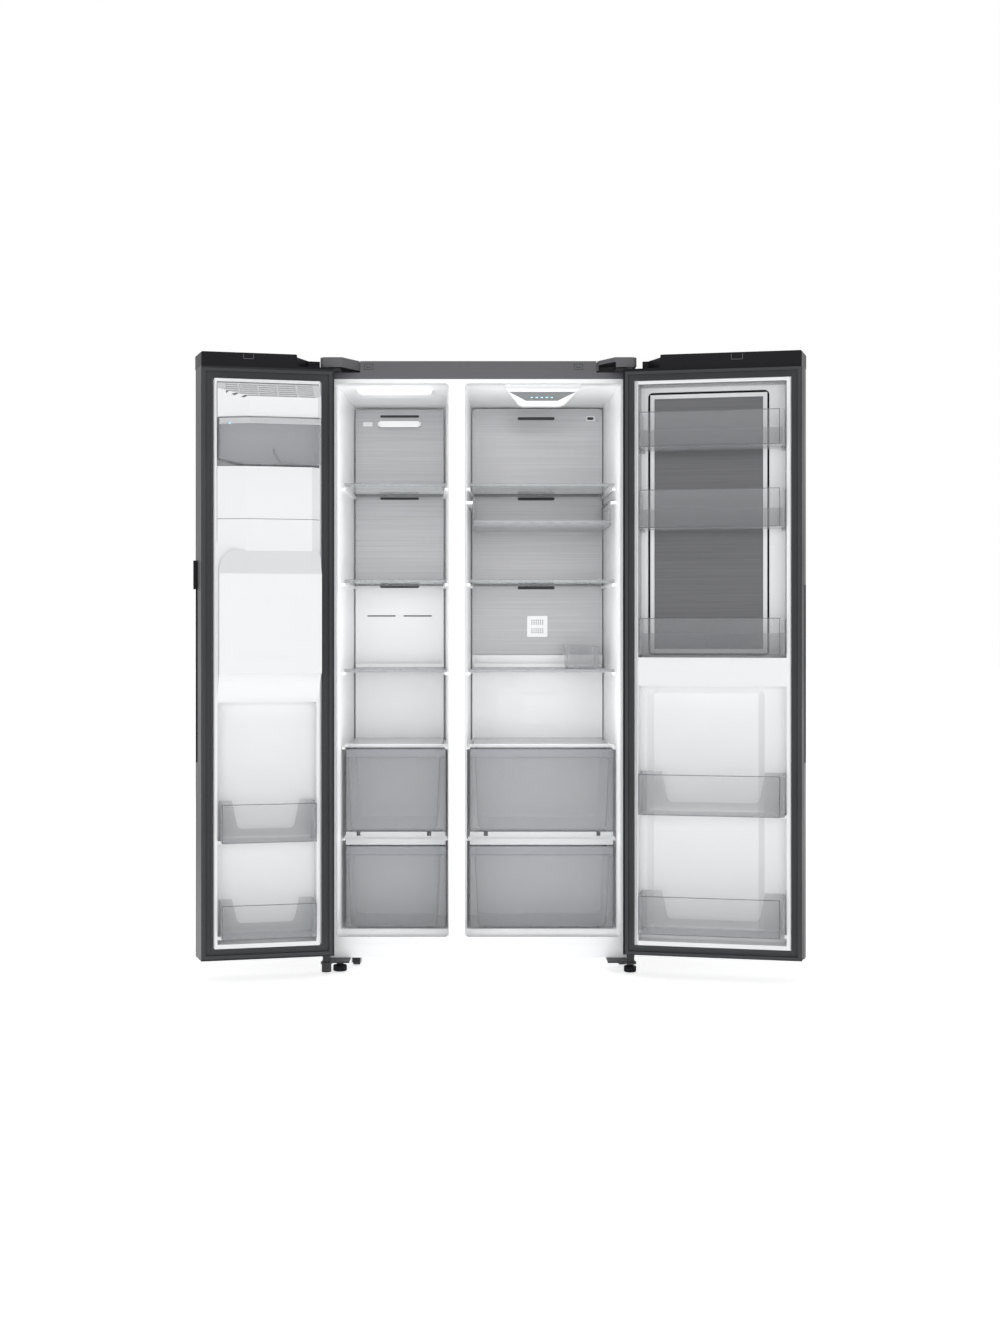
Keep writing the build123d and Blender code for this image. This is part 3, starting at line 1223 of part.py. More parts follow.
FREEZER_DOOR = (
    "freezer_door_skin", "freezer_door_liner", "freezer_door_foam", "freezer_door_caps",
    "freezer_door_gasket", "freezer_door_handle", "ice_maker", "ice_bucket", "ice_chute_cover",
    "dispenser", "dispenser_paddle", "freezer_door_bins",
)
FRIDGE_DOOR = (
    "fridge_door_frame", "fridge_door_caps", "fridge_door_gasket", "fridge_door_bins", "bin_side_frames",
    "showcase_door_skin", "showcase_inner_panel", "showcase_foam", "showcase_caps", "showcase_gasket",
)


def make_cabinet():
    cabinet_shell()
    back_panel()
    front_frame()
    compartment_liner("freezer_liner", FREEZER_X, FREEZER_BACK_X, False)
    compartment_liner("fridge_liner", FRIDGE_X, FRIDGE_BACK_X, True)
    insulation_foam()
    base_pan()
    rollers("front_rollers", ROLLER_AXES[:2])
    rollers("rear_rollers", ROLLER_AXES[2:])
    levelling_foot("levelling_foot_left", FOOT_LEFT[0], FOOT_LEFT[1], FOOT_LEFT[2])
    levelling_foot("levelling_foot_right", FOOT_RIGHT[0], FOOT_RIGHT[1], FOOT_RIGHT[2])
    top_cover()
    hinge_covers()
    door_hinges()
    rear_panels()
    air_filter()
    lamps()
    shelves()
    drawer_covers()
    bottle_rack()
    utility_box()
    cooling_system()
    condenser_fan()
    machine_cover()


def make_drawers():
    for side in SIDES:
        drawer(f"{side}_upper_drawer", side, UPPER_DRAWER_Z, DRAWER_BACK[0], COVER_TOPS[1])
        drawer(f"{side}_lower_drawer", side, LOWER_DRAWER_Z, DRAWER_BACK[1], CAVITY_Z[0])


def make_freezer_door():
    freezer_door_skin()
    freezer_door_liner()
    freezer_door_foam()
    freezer_door_caps()
    gasket_ring("freezer_door_gasket", LEFT_GASKET, GASKET_Z, LEFT_SEAL, DOOR_BACK_Y, -LIP_CLEAR)
    freezer_door_handle()
    ice_maker()
    ice_bucket()
    ice_chute_cover()
    dispenser()
    dispenser_paddle()
    door_bins("freezer_door_bins", LEFT_BINS)
    swing(FREEZER_DOOR, -PIVOT_X, -LEFT_OPEN)


def make_fridge_door():
    fridge_door_frame()
    fridge_door_caps()
    gasket_ring("fridge_door_gasket", RIGHT_GASKET, GASKET_Z, RIGHT_SEAL, DOOR_BACK_Y, -LIP_CLEAR)
    door_bins("fridge_door_bins", RIGHT_BINS)
    bin_side_frames()
    showcase_skin()
    showcase_panel()
    showcase_foam()
    showcase_caps()
    showcase_gasket()
    swing(FRIDGE_DOOR, PIVOT_X, RIGHT_OPEN)


def showcase_gasket():
    """Thin seal round the window, fixed to the showcase door."""
    x, z = RIGHT_WINDOW
    with BuildPart() as ring:
        block((x[0] - 8, x[1] + 8), (SHOWCASE_Y, CASE_BACK_Y - 0.4), (z[0] - 8, z[1] + 8))
        block((x[0] + 2, x[1] - 2), (SHOWCASE_Y - 1, CASE_BACK_Y + 1), (z[0] + 2, z[1] - 2), Mode.SUBTRACT)
    keep("showcase_gasket", ring.part)


make_cabinet()
make_drawers()
make_freezer_door()
make_fridge_door()

os.makedirs("parts", exist_ok=True)
for name, part in pieces.items():
    export_step(part, f"parts/{name}.step")
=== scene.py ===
"""Looks for the side by side refrigerator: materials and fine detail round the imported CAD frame."""
import math

import bmesh
import bpy
from mathutils import Matrix, Vector


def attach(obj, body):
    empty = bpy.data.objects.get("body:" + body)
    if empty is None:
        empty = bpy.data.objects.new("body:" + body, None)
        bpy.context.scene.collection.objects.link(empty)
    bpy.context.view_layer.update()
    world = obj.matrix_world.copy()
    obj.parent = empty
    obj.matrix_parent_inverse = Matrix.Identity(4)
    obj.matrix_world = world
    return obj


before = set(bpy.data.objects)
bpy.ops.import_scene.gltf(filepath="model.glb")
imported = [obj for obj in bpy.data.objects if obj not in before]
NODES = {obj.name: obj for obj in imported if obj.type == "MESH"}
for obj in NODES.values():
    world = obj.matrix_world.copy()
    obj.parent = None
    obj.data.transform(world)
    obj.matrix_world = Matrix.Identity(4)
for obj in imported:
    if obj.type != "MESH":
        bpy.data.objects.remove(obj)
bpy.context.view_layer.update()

# Door hinge axes in metres, and the turns that open the doors to their rest position.
HINGE_X, HINGE_Y = 0.4387, -0.058
LEFT_TURN = Matrix.Rotation(math.radians(-167.3), 4, "Z")
RIGHT_TURN = Matrix.Rotation(math.radians(168.5), 4, "Z")

# Heights of the door bins' front walls in millimetres, with the hinge-side edge of the right ones.
LEFT_BIN_Z = ((402, 510), (134, 230))
RIGHT_BIN_Z = (((1506, 1604), 400), ((1279, 1386), 400), ((925, 1027), 400), ((476, 590), 402),
               ((142, 249), 402))


# ---------------------------------------------------------------- materials
def new_material(name):
    """A node material with its shader, and object coordinates for the textures."""
    material = bpy.data.materials.new(name)
    material.use_nodes = True
    tree = material.node_tree
    shader = tree.nodes["Principled BSDF"]
    coords = tree.nodes.new("ShaderNodeTexCoord").outputs["Object"]
    return material, tree, shader, coords


def noise(tree, coords, scale, stretch=(1, 1, 1), detail=3.0):
    """Noise texture in object space, stretched along chosen axes."""
    mapping = tree.nodes.new("ShaderNodeMapping")
    mapping.inputs["Scale"].default_value = stretch
    tree.links.new(coords, mapping.inputs["Vector"])
    texture = tree.nodes.new("ShaderNodeTexNoise")
    texture.inputs["Scale"].default_value = scale
    texture.inputs["Detail"].default_value = detail
    tree.links.new(mapping.outputs["Vector"], texture.inputs["Vector"])
    return texture.outputs["Fac"]


def remap(tree, value, low, high, start=0.3, stop=0.7):
    """Maps a 0 to 1 signal onto a range."""
    node = tree.nodes.new("ShaderNodeMapRange")
    node.inputs["From Min"].default_value = start
    node.inputs["From Max"].default_value = stop
    node.inputs["To Min"].default_value = low
    node.inputs["To Max"].default_value = high
    tree.links.new(value, node.inputs["Value"])
    return node.outputs["Result"]


def vary(tree, value, colour, amount):
    """Mixes between a slightly darker and a slightly lighter version of a colour."""
    mix = tree.nodes.new("ShaderNodeMix")
    mix.data_type = "RGBA"
    mix.inputs["A"].default_value = (*[c * (1 - amount) for c in colour], 1)
    mix.inputs["B"].default_value = (*[min(1, c * (1 + amount)) for c in colour], 1)
    tree.links.new(value, mix.inputs["Factor"])
    return mix.outputs["Result"]


def bump(tree, shader, value, strength, distance):
    """Small surface relief from a texture."""
    node = tree.nodes.new("ShaderNodeBump")
    node.inputs["Strength"].default_value = strength
    node.inputs["Distance"].default_value = distance
    tree.links.new(value, node.inputs["Height"])
    tree.links.new(node.outputs["Normal"], shader.inputs["Normal"])


def moulded(name, colour, rough=0.42, grain=420.0, depth=0.00008, amount=0.015, coat=0.0, metal=0.0,
            shine=0.5):
    """Moulded plastic or paint: fine grain, faint tone changes and uneven gloss."""
    material, tree, shader, coords = new_material(name)
    broad = noise(tree, coords, 3.0, detail=2.0)
    fine = noise(tree, coords, grain, detail=2.0)
    tree.links.new(vary(tree, broad, colour, amount), shader.inputs["Base Color"])
    tree.links.new(remap(tree, broad, rough - 0.05, rough + 0.06), shader.inputs["Roughness"])
    shader.inputs["Metallic"].default_value = metal
    shader.inputs["Coat Weight"].default_value = coat
    shader.inputs["Specular IOR Level"].default_value = shine
    bump(tree, shader, fine, 0.35, depth)
    return material


def brushed(name, colour, rough=0.34, along=(2.0, 2.0, 260.0), amount=0.22, depth=0.00008):
    """Metal with fine brush lines."""
    material, tree, shader, coords = new_material(name)
    lines = noise(tree, coords, 1.0, along, 5.0)
    broad = noise(tree, coords, 2.2, detail=1.0)
    tree.links.new(vary(tree, lines, colour, amount), shader.inputs["Base Color"])
    tree.links.new(remap(tree, broad, rough - 0.06, rough + 0.08), shader.inputs["Roughness"])
    shader.inputs["Metallic"].default_value = 1.0
    bump(tree, shader, lines, 0.5, depth)
    return material


def clear(name, tint, face, edge, rough=0.12):
    """Clear plastic or glass: see-through face on, greyer along the edges and at grazing angles."""
    material, tree, shader, coords = new_material(name)
    broad = noise(tree, coords, 5.0, detail=2.0)
    tree.links.new(vary(tree, broad, tint, 0.03), shader.inputs["Base Color"])
    tree.links.new(remap(tree, broad, rough - 0.03, rough + 0.05), shader.inputs["Roughness"])
    facing = tree.nodes.new("ShaderNodeLayerWeight")
    facing.inputs["Blend"].default_value = 0.35
    alpha = remap(tree, facing.outputs["Facing"], face, edge, 0.0, 0.9)
    tree.links.new(alpha, shader.inputs["Alpha"])
    bump(tree, shader, noise(tree, coords, 60.0, detail=1.0), 0.05, 0.0001)
    return material


def glow(name, colour, strength):
    """A lit diffuser with a faint mottle."""
    material, tree, shader, coords = new_material(name)
    broad = noise(tree, coords, 30.0, detail=1.0)
    tint = vary(tree, broad, colour, 0.02)
    tree.links.new(tint, shader.inputs["Base Color"])
    tree.links.new(tint, shader.inputs["Emission Color"])
    shader.inputs["Emission Strength"].default_value = strength
    tree.links.new(remap(tree, broad, 0.3, 0.4), shader.inputs["Roughness"])
    return material


LOOKS = {
    "white": moulded("white_plastic", (0.80, 0.803, 0.808), 0.38),
    "frame": moulded("frame_plastic", (0.95, 0.952, 0.956), 0.4),
    "cavity": moulded("cavity_plastic", (0.93, 0.933, 0.937), 0.36, coat=0.1),
    "lining": moulded("lining_plastic", (0.79, 0.793, 0.798), 0.34, coat=0.1),
    "case": moulded("case_paint", (0.12, 0.12, 0.13), 0.38, 900.0, 0.00004, metal=0.6),
    "sheet": moulded("zinc_sheet", (0.42, 0.43, 0.44), 0.42, 60.0, 0.00005, 0.08, metal=0.8),
    "grey": moulded("grey_trim_plastic", (0.115, 0.115, 0.12), 0.45, 600.0, shine=0.35),
    "black": moulded("black_plastic", (0.010, 0.010, 0.012), 0.4, 700.0, shine=0.12),
    "dark": moulded("dark_plastic", (0.04, 0.04, 0.043), 0.5, 300.0, amount=0.05, shine=0.3),
    "hinge": moulded("hinge_paint", (0.03, 0.03, 0.033), 0.42, 500.0, metal=0.4),
    "panel": brushed("brushed_panel", (0.50, 0.50, 0.515)),
    "plate": brushed("brushed_dark_plate", (0.15, 0.151, 0.157)),
    "door": brushed("door_steel", (0.036, 0.036, 0.039), 0.36, (900.0, 900.0, 1.5), 0.06, 0.00003),
    "foam": moulded("foam", (0.75, 0.62, 0.36), 0.85, 90.0, 0.0006, 0.10),
    "rubber": moulded("gasket_rubber", (0.046, 0.047, 0.05), 0.62, 500.0, 0.00008, 0.05, shine=0.3),
    "tyre": moulded("roller_plastic", (0.02, 0.02, 0.022), 0.5, 300.0, shine=0.3),
    "glass": clear("shelf_glass", (0.62, 0.66, 0.66), 0.10, 0.55, 0.06),
    "trim": clear("shelf_trim_plastic", (0.27, 0.28, 0.29), 0.5, 0.9, 0.2),
    "drawer": clear("drawer_plastic", (0.38, 0.39, 0.405), 0.24, 0.8),
    "bin": clear("bin_plastic", (0.50, 0.51, 0.53), 0.12, 0.7),
    "cover": clear("cover_plastic", (0.60, 0.61, 0.62), 0.40, 0.85, 0.2),
    "rim": clear("rim_plastic", (0.78, 0.785, 0.80), 0.45, 0.85, 0.2),
    # Painted shade: dark strips for the refraction darkening along the edges of clear bins and drawers.
    "edge": clear("plastic_edge_shade", (0.16, 0.165, 0.18), 0.55, 0.9, 0.2),
    "band": clear("grip_band", (0.30, 0.31, 0.33), 0.30, 0.7, 0.15),
    "bucket": clear("bucket_plastic", (0.56, 0.57, 0.60), 0.22, 0.75),
    "lamp": glow("lamp_cover", (0.82, 0.82, 0.83), 0.08),
    "screen": moulded("display_screen", (0.20, 0.21, 0.215), 0.22, 200.0, 0.00001, 0.02),
    "mark": glow("display_mark", (0.40, 0.70, 0.80), 0.2),
    "fins": moulded("fin_metal", (0.62, 0.63, 0.64), 0.35, 200.0, metal=1.0),
    "steel": moulded("bright_steel", (0.6, 0.6, 0.61), 0.28, 300.0, metal=1.0),
}
NODE_LOOK = {
    "cabinet_shell": "case", "back_panel": "sheet", "front_frame": "frame", "freezer_liner": "cavity",
    "fridge_liner": "cavity", "insulation_foam": "foam", "base_pan": "sheet", "top_cover": "grey",
    "hinge_covers": "grey", "door_hinges": "hinge", "freezer_metal_panel": "panel",
    "freezer_duct_panel": "white", "fridge_metal_panel": "panel", "fridge_duct_panel": "white",
    "air_filter": "white", "freezer_lamp": "white", "fridge_lamp": "white", "freezer_shelves": "glass",
    "fridge_shelves": "glass", "shelf_trims": "trim", "drawer_covers": "cover", "bottle_rack": "trim",
    "utility_box": "bin", "compressor": "black", "condenser_coil": "black", "evaporators": "fins",
    "drain_pan": "dark", "condenser_fan": "dark", "fan_motor": "steel", "machine_cover": "dark",
    "front_rollers": "tyre", "rear_rollers": "tyre", "levelling_foot_left": "black",
    "levelling_foot_right": "black", "freezer_upper_drawer": "drawer", "freezer_lower_drawer": "drawer",
    "fridge_upper_drawer": "drawer", "fridge_lower_drawer": "drawer", "freezer_door_skin": "door",
    "freezer_door_liner": "lining", "freezer_door_foam": "foam", "freezer_door_caps": "black",
    "freezer_door_gasket": "rubber", "freezer_door_handle": "black", "ice_maker": "white",
    "ice_bucket": "bucket", "ice_chute_cover": "white", "dispenser": "black", "dispenser_paddle": "dark",
    "freezer_door_bins": "bin", "fridge_door_frame": "lining", "fridge_door_caps": "black",
    "fridge_door_gasket": "rubber", "fridge_door_bins": "bin", "bin_side_frames": "bin",
    "showcase_door_skin": "door", "showcase_inner_panel": "white", "showcase_foam": "foam",
    "showcase_caps": "black", "showcase_gasket": "rubber",
}
for node, look in NODE_LOOK.items():
    for material_slot in NODES[node].material_slots:
        material_slot.link = "OBJECT"
        material_slot.material = LOOKS[look]


# ---------------------------------------------------------------- fine detail
def turned(door):
    """Placement that carries a piece drawn on a closed door to the door's open position."""
    if not door:
        return Matrix()
    x, turn = (-HINGE_X, LEFT_TURN) if door == "left" else (HINGE_X, RIGHT_TURN)
    axis = Matrix.Translation((x, HINGE_Y, 0))
    return axis @ turn @ axis.inverted()


def bar(mesh, x, y, z):
    """Adds a box from its limits in millimetres."""
    middle = Matrix.Translation([sum(limits) / 2000 for limits in (x, y, z)])
    size = Matrix.Diagonal([(limits[1] - limits[0]) / 1000 for limits in (x, y, z)] + [1])
    bmesh.ops.create_cube(mesh, size=1.0, matrix=middle @ size)


def disc(mesh, centre, radius, depth):
    """Adds a short round piece that faces along Y, in millimetres."""
    place = Matrix.Translation(Vector(centre) / 1000) @ Matrix.Rotation(math.radians(90), 4, "X")
    bmesh.ops.create_cone(mesh, cap_ends=True, segments=24, radius1=radius / 1000, radius2=radius / 1000,
                          depth=depth / 1000, matrix=place)


def slab(mesh, corners, rise):
    """Adds a flat polygon thickened by an offset, in millimetres."""
    low = [mesh.verts.new(Vector(corner) / 1000) for corner in corners]
    face = mesh.faces.new(low)
    made = bmesh.ops.extrude_face_region(mesh, geom=[face])["geom"]
    moved = [item for item in made if isinstance(item, bmesh.types.BMVert)]
    bmesh.ops.translate(mesh, vec=Vector(rise) / 1000, verts=moved)


def wall_strip(mesh, path, z, thick):
    """Adds an upright strip that follows a line of plan points, in millimetres."""
    for start, stop in zip(path, path[1:]):
        corners = [(*start, z[0]), (*stop, z[0]), (*stop, z[1]), (*start, z[1])]
        slab(mesh, corners, (0, thick, 0))


def piece(name, look, body, draw, door=None, soft=0.0):
    """One mesh that rides on a body, drawn with the doors shut and with its edges softened if asked."""
    mesh = bmesh.new()
    draw(mesh)
    bmesh.ops.recalc_face_normals(mesh, faces=mesh.faces)
    if soft:
        bmesh.ops.bevel(mesh, geom=mesh.edges[:], offset=soft / 1000, segments=2, profile=0.5,
                        affect="EDGES")
    data = bpy.data.meshes.new(name)
    mesh.to_mesh(data)
    mesh.free()
    data.materials.append(LOOKS[look])
    made = bpy.data.objects.new(name, data)
    bpy.context.scene.collection.objects.link(made)
    made.matrix_world = turned(door)
    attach(made, body)


def bars(name, look, body, limits, door=None, soft=0.0):
    """A piece made of boxes only."""

    def draw(mesh):
        for x, y, z in limits:
            bar(mesh, x, y, z)

    piece(name, look, body, draw, door, soft)


def frame_bars(x, face, z, wide):
    """Four bars round the edge of an upright panel, butted at the corners."""
    return [
        ((x[0], x[0] + wide), face, z),
        ((x[1] - wide, x[1]), face, z),
        ((x[0] + wide, x[1] - wide), face, (z[0], z[0] + wide)),
        ((x[0] + wide, x[1] - wide), face, (z[1] - wide, z[1])),
    ]


def crossed_bars(x, face, z, wide):
    """Four bars round the edge of an upright panel, crossed at the corners."""
    return [
        ((x[0], x[0] + wide), face, z),
        ((x[1] - wide, x[1]), face, z),
        (x, face, (z[0], z[0] + wide)),
        (x, face, (z[1] - wide, z[1])),
    ]


def freezer_details():
    """Light bar, sensor, clips and lamp lens in the freezer."""
    light_bar = ((-318.5, -192.5), (506.4, 509.2), (1649, 1669))
    bars("freezer_light_bar", "lamp", "cabinet", [light_bar], soft=0.6)
    ends = [(x, (507.5, 524.9), (1653, 1666)) for x in ((-325, -318.6), (-192.4, -186))]
    bars("freezer_light_ends", "white", "cabinet", ends, soft=0.8)
    sensor = [((-372.8, -343.2), (519.8, 522.3), (1653.2, 1666.8))]
    sensor += [((-369 + 5 * n, -367 + 5 * n), (519.4, 520), (1656, 1664)) for n in range(5)]
    bars("freezer_sensor_cover", "white", "cabinet", sensor)
    lens = ((-352, -150), (137, 203), (1700.9, 1702.2))
    bars("freezer_lamp_lens", "white", "cabinet", [lens], soft=0.4)

    def clips(mesh):
        for x, z in ((-370.7, 1082), (-137.6, 1085)):
            disc(mesh, (x, 524.5, z), 8, 1.2)
            disc(mesh, (x, 523.9, z), 4.5, 1.2)

    piece("freezer_panel_clips", "white", "cabinet", clips)


def lamp_slope(y):
    """Height of the refrigerator lamp's sloping face at a depth, in millimetres."""
    front_y, front_z, front_fall = 30, 1709, 0.2
    kink_y, kink_z, rear_fall = 70, 1701, 0.23636
    if y < kink_y:
        return front_z - front_fall * (y - front_y)
    return kink_z - rear_fall * (y - kink_y)


def fridge_details():
    """Lens and display on the sloping lamp cover, with generic marks, and the sensor cover."""

    def sheet_on_slope(mesh, near_x, far_x, near_y, far_y, rise):
        near, far = lamp_slope(near_y), lamp_slope(far_y)
        corners = [(near_x[0], near_y, near), (near_x[1], near_y, near), (far_x[1], far_y, far),
                   (far_x[0], far_y, far)]
        slab(mesh, corners, rise)

    def lens(mesh):
        sheet_on_slope(mesh, (79.5, 300.5), (89, 291), 32, 68.5, (0, -0.15, -0.7))

    def screen(mesh):
        sheet_on_slope(mesh, (91, 289), (143, 238), 72.5, 142, (0, -0.15, -0.6))

    def marks(mesh):
        for n in range(5):
            x = 156 + 15 * n
            sheet_on_slope(mesh, (x, x + 7), (x, x + 7), 112, 119, (0, -0.3, -1.0))

    piece("fridge_lamp_lens", "lamp", "cabinet", lens)
    piece("fridge_display", "screen", "cabinet", screen)
    piece("fridge_display_marks", "mark", "cabinet", marks)
    edge = [((131, 249), (179, 216), (1673.6, 1675.1))]
    bars("fridge_lamp_edge", "lamp", "cabinet", edge, soft=0.4)
    sensor = crossed_bars((349, 377), (522.6, 525), (1671, 1687), 2.4)
    bars("fridge_sensor_frame", "white", "cabinet", sensor)


def duct_mouth_shade():
    """Dark sheets behind the air slots of the rear panels and in the filter's holes: painted shade for
    the dark insides of the ducts and holes.
    """
    margin = 1
    slots = [(-255.5, z, 126, 9) for z in (1686, 1420)] + [(-255.5, 1136, 128, 12)]
    slots += [(x, 1040, 92, 5) for x in (-314, -197)]
    slots += [(186.5, z, 120, 11) for z in (1679, 1419, 1131)] + [(362, 1679, 20, 9)]
    limits = []
    for x, z, width, height in slots:
        across, up = width / 2 + margin, height / 2 + margin
        limits.append(((x - across, x + across), (526.5, 530), (z - up, z + up)))
    bars("duct_mouth_shade", "dark", "cabinet", limits)

    # Painted shade: a dark disc at the bottom of each filter hole.
    def holes(mesh):
        for row in (1020, 992):
            for i in range(6):
                for j in range(3):
                    disc(mesh, (190 + 7 * (i - 2.5), 516.05, row + 6 * (j - 1)), 1.75, 0.3)

    piece("filter_hole_shade", "dark", "cabinet", holes)


def shelf_strips():
    """White strips along the rear edge of the glass shelves."""
    strips = []
    for x in ((-396, -112), (-14, 396)):
        for top in (1435, 1146, 877):
            strips.append((x, (500.1, 501.1), (top - 1.9, top + 9)))
    bars("shelf_rear_strips", "white", "cabinet", strips)


def showcase_details():
    """The brushed plate of the showcase, and a black strip round its surround that is partly the dark
    seal and partly painted shadow in the gap beside it.
    """
    plate = [((60.7, 368.3), (-47.15, -46.3), (939.7, 1656.3))]
    bars("showcase_plate", "plate", "showcase_door", plate, "right")
    # Painted shadow: the black strip stands for the seal and the shaded gap next to it.
    seal = crossed_bars((43.6, 385.4), (-46.2, -45.6), (922.6, 1673.4), 5.4)
    bars("showcase_shadow_seal", "black", "showcase_door", seal, "right")


def cap_latches():
    """Small latches in the doors' top caps, each with an outline open at the top."""
    top, line, inset = 1774, 1.4, 3
    face = (-12.1, -11.5)
    places = (("left", "freezer_door", (-226, -196), 1761), ("right", "fridge_door", (116, 149), 1758))
    for side, body, x, low in places:
        outline = [
            ((x[0], x[0] + line), face, (low, top)),
            ((x[1] - line, x[1]), face, (low, top)),
            (x, face, (low, low + line)),
        ]
        bars(f"cap_latch_outline_{side}", "grey", body, outline, side)
        inner = [((x[0] + inset, x[1] - inset), (-12.1, -11.3), (low + inset, top - 1))]
        bars(f"cap_latch_{side}", "black", body, inner, side, 0.3)


def bucket_details():
    """Lever, gate and catch of the ice bucket; the catch is given the display marks' faint glow, a
    painted glow on a part that is no lamp.
    """
    wire_radius, overlap = 0.0032, 0.002

    def hook(mesh):
        path = [(-276, 40, 1502), (-279, 40, 1490), (-286, 40, 1478), (-293, 40, 1468), (-297, 40, 1461)]
        for start, stop in zip(path, path[1:]):
            span = (Vector(stop) - Vector(start)) / 1000
            place = Matrix.Translation((Vector(start) + Vector(stop)) / 2000)
            turn = span.to_track_quat("Z", "Y").to_matrix().to_4x4()
            bmesh.ops.create_cone(mesh, cap_ends=True, segments=16, radius1=wire_radius,
                                  radius2=wire_radius, depth=span.length + overlap,
                                  matrix=place @ turn)

    piece("ice_bucket_lever", "grey", "ice_bucket", hook, "left")
    gate = ((-338, -299), (14, 46), (1459.5, 1466))
    bars("ice_bucket_gate", "screen", "ice_bucket", [gate], "left", 2.0)
    catch = ((-156, -150), (62, 66), (1566, 1571))
    # Painted glow: the catch shines with the display-mark emission although it is no lamp.
    bars("ice_bucket_catch_glow", "mark", "ice_bucket", [catch], "left", 1.0)


def column_seam():
    """Fine joint line across the white column under the ice bucket."""
    path = [(-407, 30), (-384, 47), (-200, 47), (-121, 22)]

    def seam(mesh):
        wall_strip(mesh, path, (1304, 1305.6), 0.25)

    piece("column_seam", "screen", "freezer_door", seam, "left")


def trim_marks():
    """Two small outlined key marks on the top trim."""
    face = (-0.25, 0.1)
    limits = []
    for x in (-321, 292):
        limits += frame_bars((x - 13, x + 13), face, (1754.5, 1771.5), 1.4)
        limits.append(((x - 6, x + 6), face, (1760, 1762)))
        limits += [((x + end, x + end + 1.5), face, (1762, 1765)) for end in (-6, 4.5)]
    bars("top_trim_marks", "dark", "cabinet", limits)


def bucket_rim():
    """Pale rolled rim along the front of the ice bucket."""
    path = [(-404, 87), (-207, 87), (-125, 52)]

    def rim(mesh):
        wall_strip(mesh, path, (1567, 1583), 0.5)

    piece("ice_bucket_rim", "rim", "ice_bucket", rim, "left")


def bin_edge_shade():
    """Darker edges of the clear bins' front walls, painted shade for the dark refraction along the edges
    of clear plastic.
    """
    face, wide = (81.8, 82.4), 2.2
    left, right = [], []
    # Painted shade: dark frames round each bin front.
    for z in LEFT_BIN_Z:
        left += frame_bars((-393, -130), face, z, wide)
    for z, hinge_edge in RIGHT_BIN_Z:
        right += frame_bars((11, hinge_edge), face, z, wide)
    bars("freezer_bin_edge_shade", "edge", "freezer_door", left, "left")
    bars("fridge_bin_edge_shade", "edge", "fridge_door", right, "right")


def drawer_edge_shade():
    """Dark outline, grip band and ledge line on the front of each drawer; the outline is painted shade
    for the dark refraction along the clear edges, and the ledge line is painted shade under the grip
    ledge.
    """
    face, line, inset = (135.5, 136.1), 1.8, 2
    for side, x in (("freezer", (-398, -98)), ("fridge", (-26, 405))):
        within = (x[0] + inset, x[1] - inset)
        for level, z in (("upper", (391, 637)), ("lower", (101, 345))):
            body = f"{side}_{level}_drawer"
            # Painted shade: dark outline round the drawer front and a dark line under the grip ledge.
            lines = frame_bars(x, face, z, line)
            lines.append((within, face, (z[1] - 27, z[1] - 25.2)))
            bars(f"{body}_edges", "edge", body, lines)
            band = [(within, (135.7, 136.1), (z[1] - 25, z[1] - inset))]
            bars(f"{body}_band", "band", body, band)


def dispenser_details():
    """Generic round keys on the dispenser's control head."""
    first_x, pitch = -321, 36

    def keys(mesh):
        for n in range(4):
            disc(mesh, (first_x + pitch * n, -108.4, 1157), 7, 0.9)

    piece("dispenser_keys", "grey", "freezer_door", keys, "left")


def screw_heads():
    """Cross-head screws of the rear covers, with dark bars on the heads as painted shade in their cross
    slots.
    """
    long_half, short_half = 2.6, 0.5
    places = [(x, 608.5, z) for x in (-440, -150, 150, 440) for z in (47, 250)]
    places += [(x, 610.5, z) for x in (-446, 446) for z in (300, 700, 1100, 1500)]
    places += [(x, 610.5, 1736) for x in (-300, 0, 300)]

    def heads(mesh):
        for place in places:
            disc(mesh, place, 4.2, 1.6)

    # Painted shade: thin dark crosses on the heads where the slots' hollows would be shaded.
    def slots(mesh):
        for x, y, z in places:
            for across, up in ((long_half, short_half), (short_half, long_half)):
                bar(mesh, (x - across, x + across), (y + 0.7, y + 0.9), (z - up, z + up))

    piece("rear_screws", "steel", "cabinet", heads)
    piece("rear_screw_slot_shade", "dark", "cabinet", slots)


freezer_details()
fridge_details()
duct_mouth_shade()
shelf_strips()
showcase_details()
cap_latches()
bucket_details()
column_seam()
bin_edge_shade()
drawer_edge_shade()
trim_marks()
bucket_rim()
dispenser_details()
screw_heads()


# ---------------------------------------------------------------- stage, light and camera
def make_floor():
    """Plain pale floor, lit a little from within so that it meets the background."""
    reach = 40.0
    corners = [(-reach, -reach, 0), (reach, -reach, 0), (reach, reach, 0), (-reach, reach, 0)]
    mesh = bpy.data.meshes.new("floor")
    mesh.from_pydata(corners, [], [(0, 1, 2, 3)])
    floor = bpy.data.objects.new("floor", mesh)
    bpy.context.scene.collection.objects.link(floor)
    floor.location.z = -0.0005
    paint = moulded("floor_paint", (0.93, 0.93, 0.93), 0.8, 8.0, 0.00002, 0.004)
    shader = paint.node_tree.nodes["Principled BSDF"]
    shader.inputs["Emission Color"].default_value = (1, 1, 1, 1)
    shader.inputs["Emission Strength"].default_value = 0.68
    mesh.materials.append(paint)


def area_light(name, place, target, size, power, mirrored=False):
    """Rectangular light in watts that faces its target, seen in mirror reflections only if asked."""
    data = bpy.data.lights.new(name, "AREA")
    data.shape = "RECTANGLE"
    data.size, data.size_y = size
    data.energy = power
    light = bpy.data.objects.new(name, data)
    light.location = place
    light.rotation_mode = "QUATERNION"
    light.rotation_quaternion = (Vector(target) - Vector(place)).to_track_quat("-Z", "Y")
    light.visible_camera = False
    light.visible_glossy = mirrored
    bpy.context.scene.collection.objects.link(light)


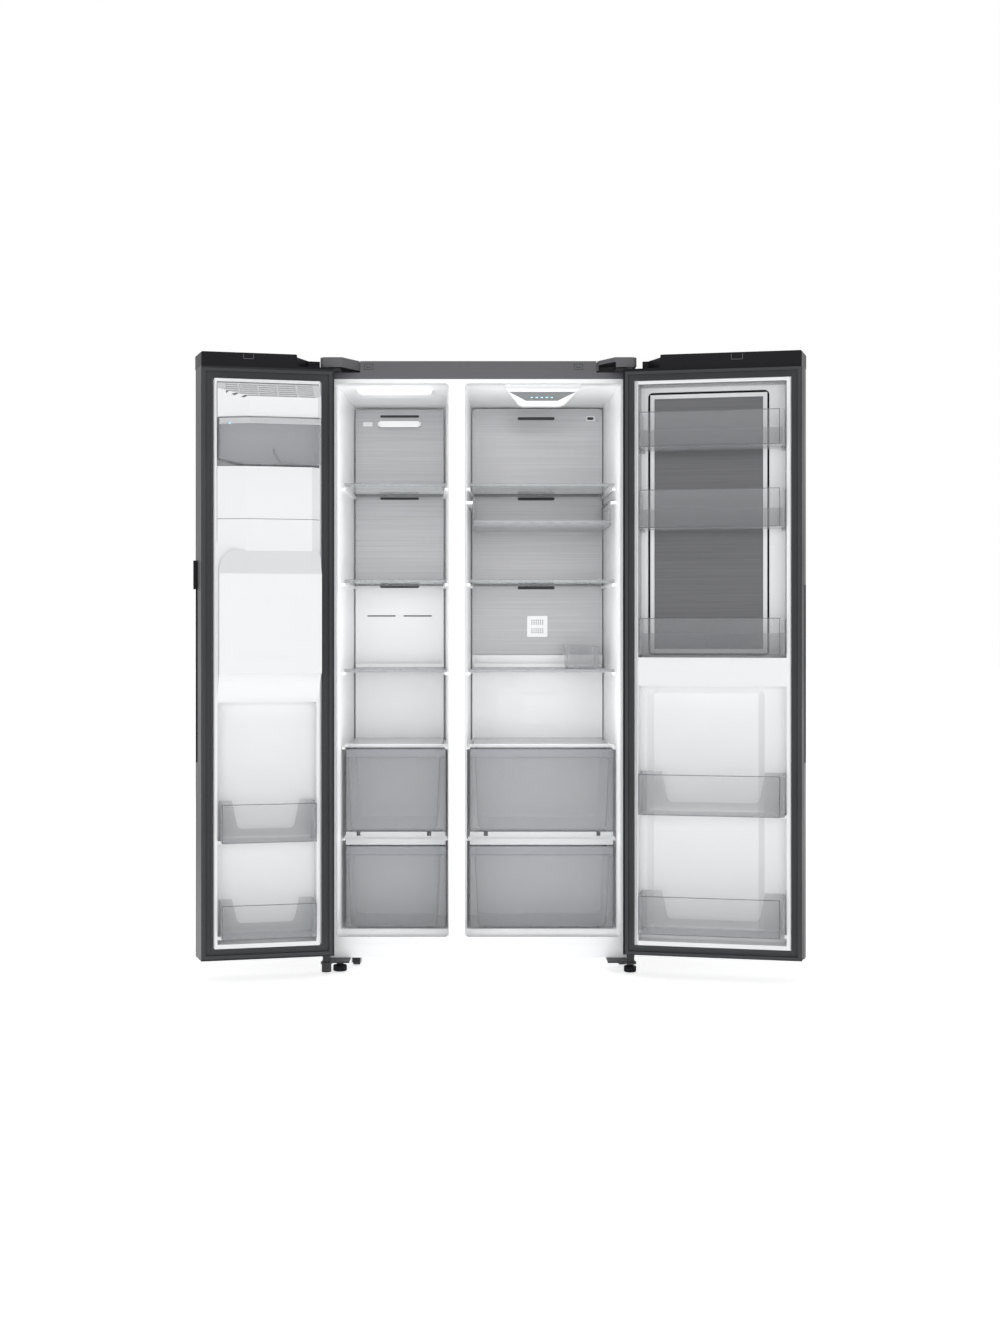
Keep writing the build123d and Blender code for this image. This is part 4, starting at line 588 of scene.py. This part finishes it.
def make_world():
    """White background, with a dimmer sky for diffuse light."""
    world = bpy.data.worlds.new("studio")
    bpy.context.scene.world = world
    world.use_nodes = True
    tree = world.node_tree
    sky = tree.nodes["Background"]
    sky.inputs["Color"].default_value = (0.97, 0.98, 1.0, 1)
    sky.inputs["Strength"].default_value = 0.32
    seen = tree.nodes.new("ShaderNodeBackground")
    seen.inputs["Color"].default_value = (1, 1, 1, 1)
    seen.inputs["Strength"].default_value = 1.0
    path = tree.nodes.new("ShaderNodeLightPath")
    mix = tree.nodes.new("ShaderNodeMixShader")
    tree.links.new(path.outputs["Is Diffuse Ray"], mix.inputs["Fac"])
    tree.links.new(seen.outputs["Background"], mix.inputs[1])
    tree.links.new(sky.outputs["Background"], mix.inputs[2])
    tree.links.new(mix.outputs["Shader"], tree.nodes["World Output"].inputs["Surface"])


def make_camera():
    """Level camera in front of the object, with its frame shifted a little."""
    data = bpy.data.cameras.new("camera")
    data.sensor_width = 36.0
    data.lens = 45.27273
    data.shift_x = 0.0163
    data.shift_y = -0.0212
    camera = bpy.data.objects.new("camera", data)
    camera.location = (0.0, -4.85, 0.988)
    camera.rotation_euler = (math.radians(90), 0, 0)
    bpy.context.scene.collection.objects.link(camera)
    bpy.context.scene.camera = camera


FRONT, FRONT_TARGET = (0.0, -5.6, 1.1), (0, 0, 0.95)

make_floor()
make_world()
area_light("front_soft", FRONT, FRONT_TARGET, (4.5, 2.4), 98)
area_light("front_strip", FRONT, FRONT_TARGET, (0.5, 3.0), 16, True)
area_light("top_soft", (0.0, -1.0, 4.2), (0, 0, 0.8), (4.0, 4.0), 20)
area_light("back_soft", (0.0, 5.0, 2.6), (0, 0, 0.9), (4.0, 3.0), 60)
area_light("freezer_fill", (-0.252, 0.03, 0.906), (-0.252, 0.6, 0.906), (0.30, 1.55), 2.0)
area_light("fridge_fill", (0.19, 0.03, 0.906), (0.19, 0.6, 0.906), (0.43, 1.55), 3.0)
make_camera()
bpy.context.scene.view_settings.view_transform = "Standard"
